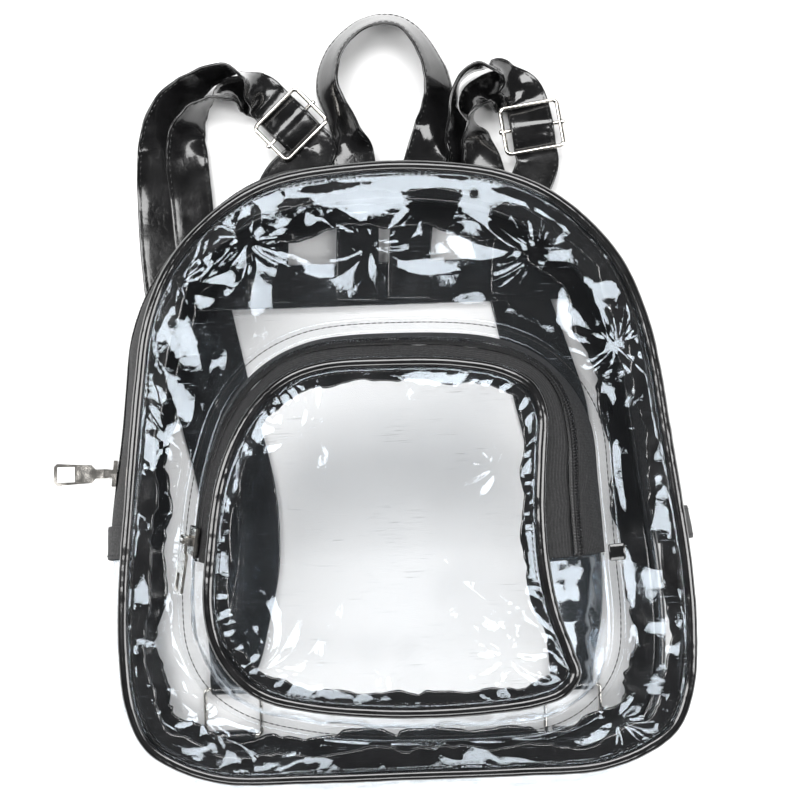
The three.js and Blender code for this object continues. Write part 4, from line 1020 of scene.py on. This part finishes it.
patentPieces += [
    backBand(),
    ribbon("handle_sewn", routeOf(handleRows), 181, "handle"),
    shoulderStrap("left", leftLeg, leftArch, leftReturn, 191),
    shoulderStrap("right", rightLeg, rightArch, rightReturn, 201),
    ringTab("left", 211),
    ringTab("right", 221),
]

print("metal")


def wireLoop(size):
    middles, outs = [], []
    inX = size["across"] / 2 - wire["radius"] - wire["corner"]
    inY = size["along"] / 2 - wire["radius"] - wire["corner"]
    for signX, signY, quarter in ((1, 1, 0), (-1, 1, 1), (-1, -1, 2), (1, -1, 3)):
        for turn in (quarter + np.linspace(0, 1, 9)) * math.pi / 2:
            out = np.array([math.cos(turn), math.sin(turn), 0])
            middles.append(np.array([signX * inX, signY * inY, 0]) + out * wire["corner"])
            outs.append(out)
    turns = circle(16)
    sections = (
        np.array(middles)[:, None]
        + np.array(outs)[:, None] * np.cos(turns)[None, :, None] * wire["radius"]
        + upward * np.sin(turns)[None, :, None] * wire["radius"]
    )
    return sections.reshape(-1, 3), sweep(sections, True)


# The centre bar, with a knob at each end: place along its half, radius
barProfile = [
    (-1, 0.4), (-0.99, 0.9), (-0.96, 1.15), (-0.92, 1.15), (-0.89, 0.97), (-0.5, 0.97), (0, 0.97),
    (0.5, 0.97), (0.89, 0.97), (0.92, 1.15), (0.96, 1.15), (0.99, 0.9), (1, 0.4),
]


def centreBar(size):
    turns = circle(16)
    half = (size["across"] + size["knob"]) / 2
    sections = [
        np.stack([
            np.full(16, place * half),
            np.cos(turns) * radius * wire["radius"],
            np.sin(turns) * radius * wire["radius"],
        ], axis=-1)
        for place, radius in barProfile
    ]
    return np.vstack(sections), sweep(sections)


def metalPiece(name, parts, share, z, turnDegrees, node):
    turn = math.radians(turnDegrees)
    spin = np.array([[math.cos(turn), math.sin(turn), 0], [-math.sin(turn), math.cos(turn), 0], [0, 0, 1]])
    parts = [(points @ spin + placeOf(share, z), faces) for points, faces in parts]
    return ride(joinedObject(name, parts), "bag", "nickel", node)


metalPieces = []
for side, shares in sides.items():
    place = shares["buckle"]
    parts = [wireLoop(buckle), centreBar(buckle)]
    made = metalPiece("buckle_wire_" + side, parts, place, buckleZ, place["turn"], "buckle_" + side)
    metalPieces.append(made)
    made = metalPiece("ring_wire_" + side, [wireLoop(ring)], shares["ring"], ringZ, 0, "ring_" + side)
    metalPieces.append(made)

print("materials")


# Adds nodes to a tree and links them; an input is a value or another node's socket
class Nodes:
    def __init__(self, tree):
        self.tree = tree

    def add(self, kind, inputs=None, **settings):
        node = self.tree.nodes.new(kind)
        for name, value in settings.items():
            setattr(node, name, value)
        for name, value in (inputs or {}).items():
            if isinstance(value, bpy.types.NodeSocket):
                self.tree.links.new(value, node.inputs[name])
            else:
                node.inputs[name].default_value = value
        return node

    def noise(self, vector, scale, detail):
        made = self.add("ShaderNodeTexNoise", {
            "Vector": vector, "Scale": scale, "Detail": detail, "Roughness": 0.55,
        })
        return made.outputs["Fac"]

    def band(self, value, low, high, outLow=0.0, outHigh=1.0):
        made = self.add("ShaderNodeMapRange", {
            "Value": value, "From Min": low, "From Max": high, "To Min": outLow, "To Max": outHigh,
        }, interpolation_type="SMOOTHSTEP")
        return made.outputs["Result"]

    def math(self, operation, first, second, clamp=False):
        made = self.add("ShaderNodeMath", {0: first, 1: second}, operation=operation, use_clamp=clamp)
        return made.outputs["Value"]

    def stretched(self, vector, scale, turn=0.0):
        made = self.add("ShaderNodeMapping", {"Vector": vector, "Scale": scale, "Rotation": (0, 0, turn)})
        return made.outputs["Vector"]


def newGroup(name, outputs, build):
    group = bpy.data.node_groups.new(name, "ShaderNodeTree")
    for output in outputs:
        group.interface.new_socket(name=output, in_out="OUTPUT", socket_type="NodeSocketFloat")
    nodes = Nodes(group)
    place = nodes.add("ShaderNodeTexCoord").outputs["Object"]
    result = nodes.add("NodeGroupOutput")
    for output, value in build(nodes, place).items():
        group.links.new(value, result.inputs[output])
    return group


# Smudges, hair scratches and small waves of a clear sheet
def sheetWear(nodes, place):
    smudge = nodes.band(nodes.noise(place, 26, 5), 0.5, 0.72)
    hairs = []
    for turn, scale in ((0.5, (60, 1500, 60)), (1.9, (60, 1700, 60)), (2.6, (50, 1300, 50))):
        line = nodes.noise(nodes.stretched(place, scale, turn), 1, 2)
        hairs.append(nodes.band(line, 0.68, 0.74))
    hair = nodes.math("MAXIMUM", nodes.math("MAXIMUM", hairs[0], hairs[1]), hairs[2])
    patch = nodes.band(nodes.noise(place, 40, 2), 0.42, 0.66)
    hair = nodes.math("MULTIPLY", hair, patch)
    wave = nodes.noise(place, 70, 3)
    fine = nodes.math("MULTIPLY", nodes.noise(place, 260, 4), 0.22)
    height = nodes.math("ADD", wave, fine)
    rough = nodes.math("ADD", nodes.math("MULTIPLY", smudge, 0.09), nodes.math("MULTIPLY", hair, 0.25))
    haze = nodes.math("ADD", nodes.math("MULTIPLY", smudge, 0.02), nodes.math("MULTIPLY", hair, 0.14))
    return {"Roughness": nodes.math("ADD", rough, 0.045), "Haze": haze, "Height": height}


# Creased coated cloth
def patentWear(nodes, place):
    cells = nodes.add("ShaderNodeTexVoronoi", {
        "Vector": place, "Scale": 210.0, "Randomness": 1.0,
    }, feature="DISTANCE_TO_EDGE")
    crease = nodes.band(cells.outputs["Distance"], 0.0, 0.16)
    wave = nodes.noise(place, 95, 3)
    grain = nodes.noise(place, 1400, 3)
    height = nodes.math("ADD", nodes.math("MULTIPLY", crease, 0.12), wave)
    height = nodes.math("ADD", height, nodes.math("MULTIPLY", grain, 0.08))
    smudge = nodes.noise(place, 60, 4)
    return {
        "Roughness": nodes.band(smudge, 0.3, 0.75, 0.1, 0.24),
        "Tone": nodes.band(wave, 0.3, 0.7, 0.004, 0.009),
        "Height": height,
    }


# Plain weave of a zip's tape
def tapeWeave(nodes, place):
    bands = []
    for direction in ("X", "Y", "Z"):
        bands.append(nodes.add("ShaderNodeTexWave", {
            "Vector": place, "Scale": 420.0, "Distortion": 1.2, "Detail": 1.0, "Detail Scale": 2.0,
        }, bands_direction=direction).outputs["Fac"])
    weave = nodes.math("MULTIPLY", nodes.math("ADD", bands[0], bands[1]), bands[2])
    fuzz = nodes.noise(place, 900, 4)
    return {
        "Roughness": nodes.band(fuzz, 0.3, 0.7, 0.62, 0.85),
        "Tone": nodes.band(weave, 0.0, 1.6, 0.008, 0.03),
        "Height": nodes.math("ADD", weave, nodes.math("MULTIPLY", fuzz, 0.4)),
    }


# Polished plate with fine brushing and faint tarnish
def plateWear(nodes, place):
    brushed = nodes.noise(nodes.stretched(place, (240, 4200, 1200), 0.35), 1, 3)
    tarnish = nodes.noise(place, 190, 4)
    return {
        "Roughness": nodes.band(tarnish, 0.35, 0.75, 0.14, 0.3),
        "Tone": nodes.band(tarnish, 0.3, 0.8, 0.72, 0.55),
        "Height": nodes.math("ADD", brushed, nodes.math("MULTIPLY", tarnish, 0.6)),
    }


groups = {
    "sheet": newGroup("sheet wear", ("Roughness", "Haze", "Height"), sheetWear),
    "patent": newGroup("patent wear", ("Roughness", "Tone", "Height"), patentWear),
    "tape": newGroup("tape weave", ("Roughness", "Tone", "Height"), tapeWeave),
    "plate": newGroup("plate wear", ("Roughness", "Tone", "Height"), plateWear),
}


# A material from one group: tint scales the group's tone, bump is the height of its relief in metres
def groupMaterial(name, group, tint, bump, strength, settings):
    made = bpy.data.materials.new(name)
    made.use_nodes = True
    tree = made.node_tree
    tree.nodes.clear()
    nodes = Nodes(tree)
    wear = nodes.add("ShaderNodeGroup", node_tree=groups[group])
    relief = nodes.add("ShaderNodeBump", {
        "Height": wear.outputs["Height"], "Distance": bump, "Strength": strength,
    })
    shader = nodes.add("ShaderNodeBsdfPrincipled", {
        "Roughness": wear.outputs["Roughness"], "Normal": relief.outputs["Normal"],
    })
    if "Tone" in wear.outputs:
        tone = nodes.add("ShaderNodeCombineColor", {
            channel: nodes.math("MULTIPLY", wear.outputs["Tone"], share)
            for channel, share in zip(("Red", "Green", "Blue"), tint)
        })
        tree.links.new(tone.outputs["Color"], shader.inputs["Base Color"])
    else:
        shader.inputs["Base Color"].default_value = (*tint, 1)
        # The sheet is as glossy from within as from outside
        inside = nodes.add("ShaderNodeNewGeometry").outputs["Backfacing"]
        index = nodes.band(inside, 0.0, 1.0, 1.5, 1 / 1.5)
        edge = nodes.add("ShaderNodeFresnel", {"IOR": index, "Normal": relief.outputs["Normal"]})
        gloss = nodes.math("MULTIPLY", edge.outputs["Fac"], 1.2)
        tree.links.new(nodes.math("ADD", gloss, wear.outputs["Haze"], True), shader.inputs["Alpha"])
        made.surface_render_method = "BLENDED"
    for socket, value in settings.items():
        shader.inputs[socket].default_value = value
    nodes.add("ShaderNodeOutputMaterial", {"Surface": shader.outputs["BSDF"]})
    return made


# Group, tint, bump in metres, strength, and the shader's own plain values
finishes = {
    "clear": ("clear sheet", "sheet", (0.76, 0.84, 0.92), 0.0009, 0.5, {"Metallic": 1.0}),
    "patent": ("black patent", "patent", (1.0, 1.0, 1.05), 0.00025, 0.4,
               {"Coat Weight": 0.5, "Coat Roughness": 0.06}),
    "thread": ("black thread", "tape", (1.2, 1.2, 1.25), 0.0001, 0.6, {}),
    "tape": ("zip tape", "tape", (0.75, 0.75, 0.8), 0.00018, 0.7, {}),
    "coil": ("zip coil", "patent", (1.4, 1.4, 1.5), 0.00008, 0.4, {}),
    "nickel": ("nickel plate", "plate", (1.0, 0.96, 0.9), 0.00004, 0.35, {"Metallic": 1.0}),
}
materials = {name: groupMaterial(*finish) for name, finish in finishes.items()}


def dress(made, *names):
    made.data.materials.clear()
    for name in names:
        made.data.materials.append(materials[name])


for made in clearPieces:
    dress(made, "clear")
for made in patentPieces:
    dress(made, "patent", "thread")
for made in [flangeThread] + endTabs:
    dress(made, "thread")
for made in tapePieces:
    dress(made, "tape")
for made in coilPieces:
    dress(made, "coil")
for made in metalPieces:
    dress(made, "nickel")
# The sliders and pulls are the frame's own nodes
for node in ("main_slider", "main_pull", "pocket_slider", "pocket_pull"):
    dress(bpy.data.objects[node], "nickel")

print("studio")
studio = {"floor": 6.0, "white": 0.88, "paperRoughness": 0.9, "world": 0.09, "aim": (0, 0, 0.04)}

floorMesh = bpy.data.meshes.new("floor")
half = studio["floor"] / 2
corners = [(-half, -half, 0), (half, -half, 0), (half, half, 0), (-half, half, 0)]
floorMesh.from_pydata(corners, [], [(0, 1, 2, 3)])
floor = bpy.data.objects.new("floor", floorMesh)
bpy.context.scene.collection.objects.link(floor)
paper = bpy.data.materials.new("white paper")
paper.use_nodes = True
paperShader = paper.node_tree.nodes["Principled BSDF"]
paperShader.inputs["Base Color"].default_value = (studio["white"], studio["white"], studio["white"], 1)
paperShader.inputs["Roughness"].default_value = studio["paperRoughness"]
floorMesh.materials.append(paper)

world = bpy.data.worlds.new("studio")
bpy.context.scene.world = world
world.use_nodes = True
world.node_tree.nodes["Background"].inputs["Color"].default_value = (1, 1, 1, 1)
world.node_tree.nodes["Background"].inputs["Strength"].default_value = studio["world"]

# Softboxes: place in metres, size, watts
softboxes = {
    "top": ((0.0, 0.82, 1.2), (1.3, 0.66), 25.0),
    "left": ((-0.85, 0.1, 1.1), (0.48, 1.1), 14.5),
    "right": ((0.95, -0.2, 1.1), (0.45, 1.0), 12.5),
    "front": ((0.0, -1.05, 1.1), (1.1, 0.45), 11.0),
}
for name, (place, size, power) in softboxes.items():
    lamp = bpy.data.lights.new(name, "AREA")
    lamp.shape = "RECTANGLE"
    lamp.size, lamp.size_y = size
    lamp.energy = power
    box = bpy.data.objects.new(name, lamp)
    box.location = place
    box.rotation_euler = (Vector(studio["aim"]) - Vector(place)).to_track_quat("-Z", "Y").to_euler()
    bpy.context.scene.collection.objects.link(box)

# Straight above the body's middle, turned as in the photo
view = {"lens": 75.5, "across": 0.5, "up": 182.5, "height": 0.875, "turn": -2.1}
cameraData = bpy.data.cameras.new("camera")
cameraData.lens = view["lens"]
cameraData.sensor_width = 36
cameraData.dof.use_dof = False
camera = bpy.data.objects.new("camera", cameraData)
camera.location = (origin[0] + view["across"] * mm, origin[1] + view["up"] * mm, view["height"])
camera.rotation_euler = (0, 0, math.radians(view["turn"]))
bpy.context.scene.collection.objects.link(camera)
scene = bpy.context.scene
scene.camera = camera
scene.view_settings.view_transform = "Standard"
scene.cycles.transparent_max_bounces = 32

bpy.context.view_layer.update()
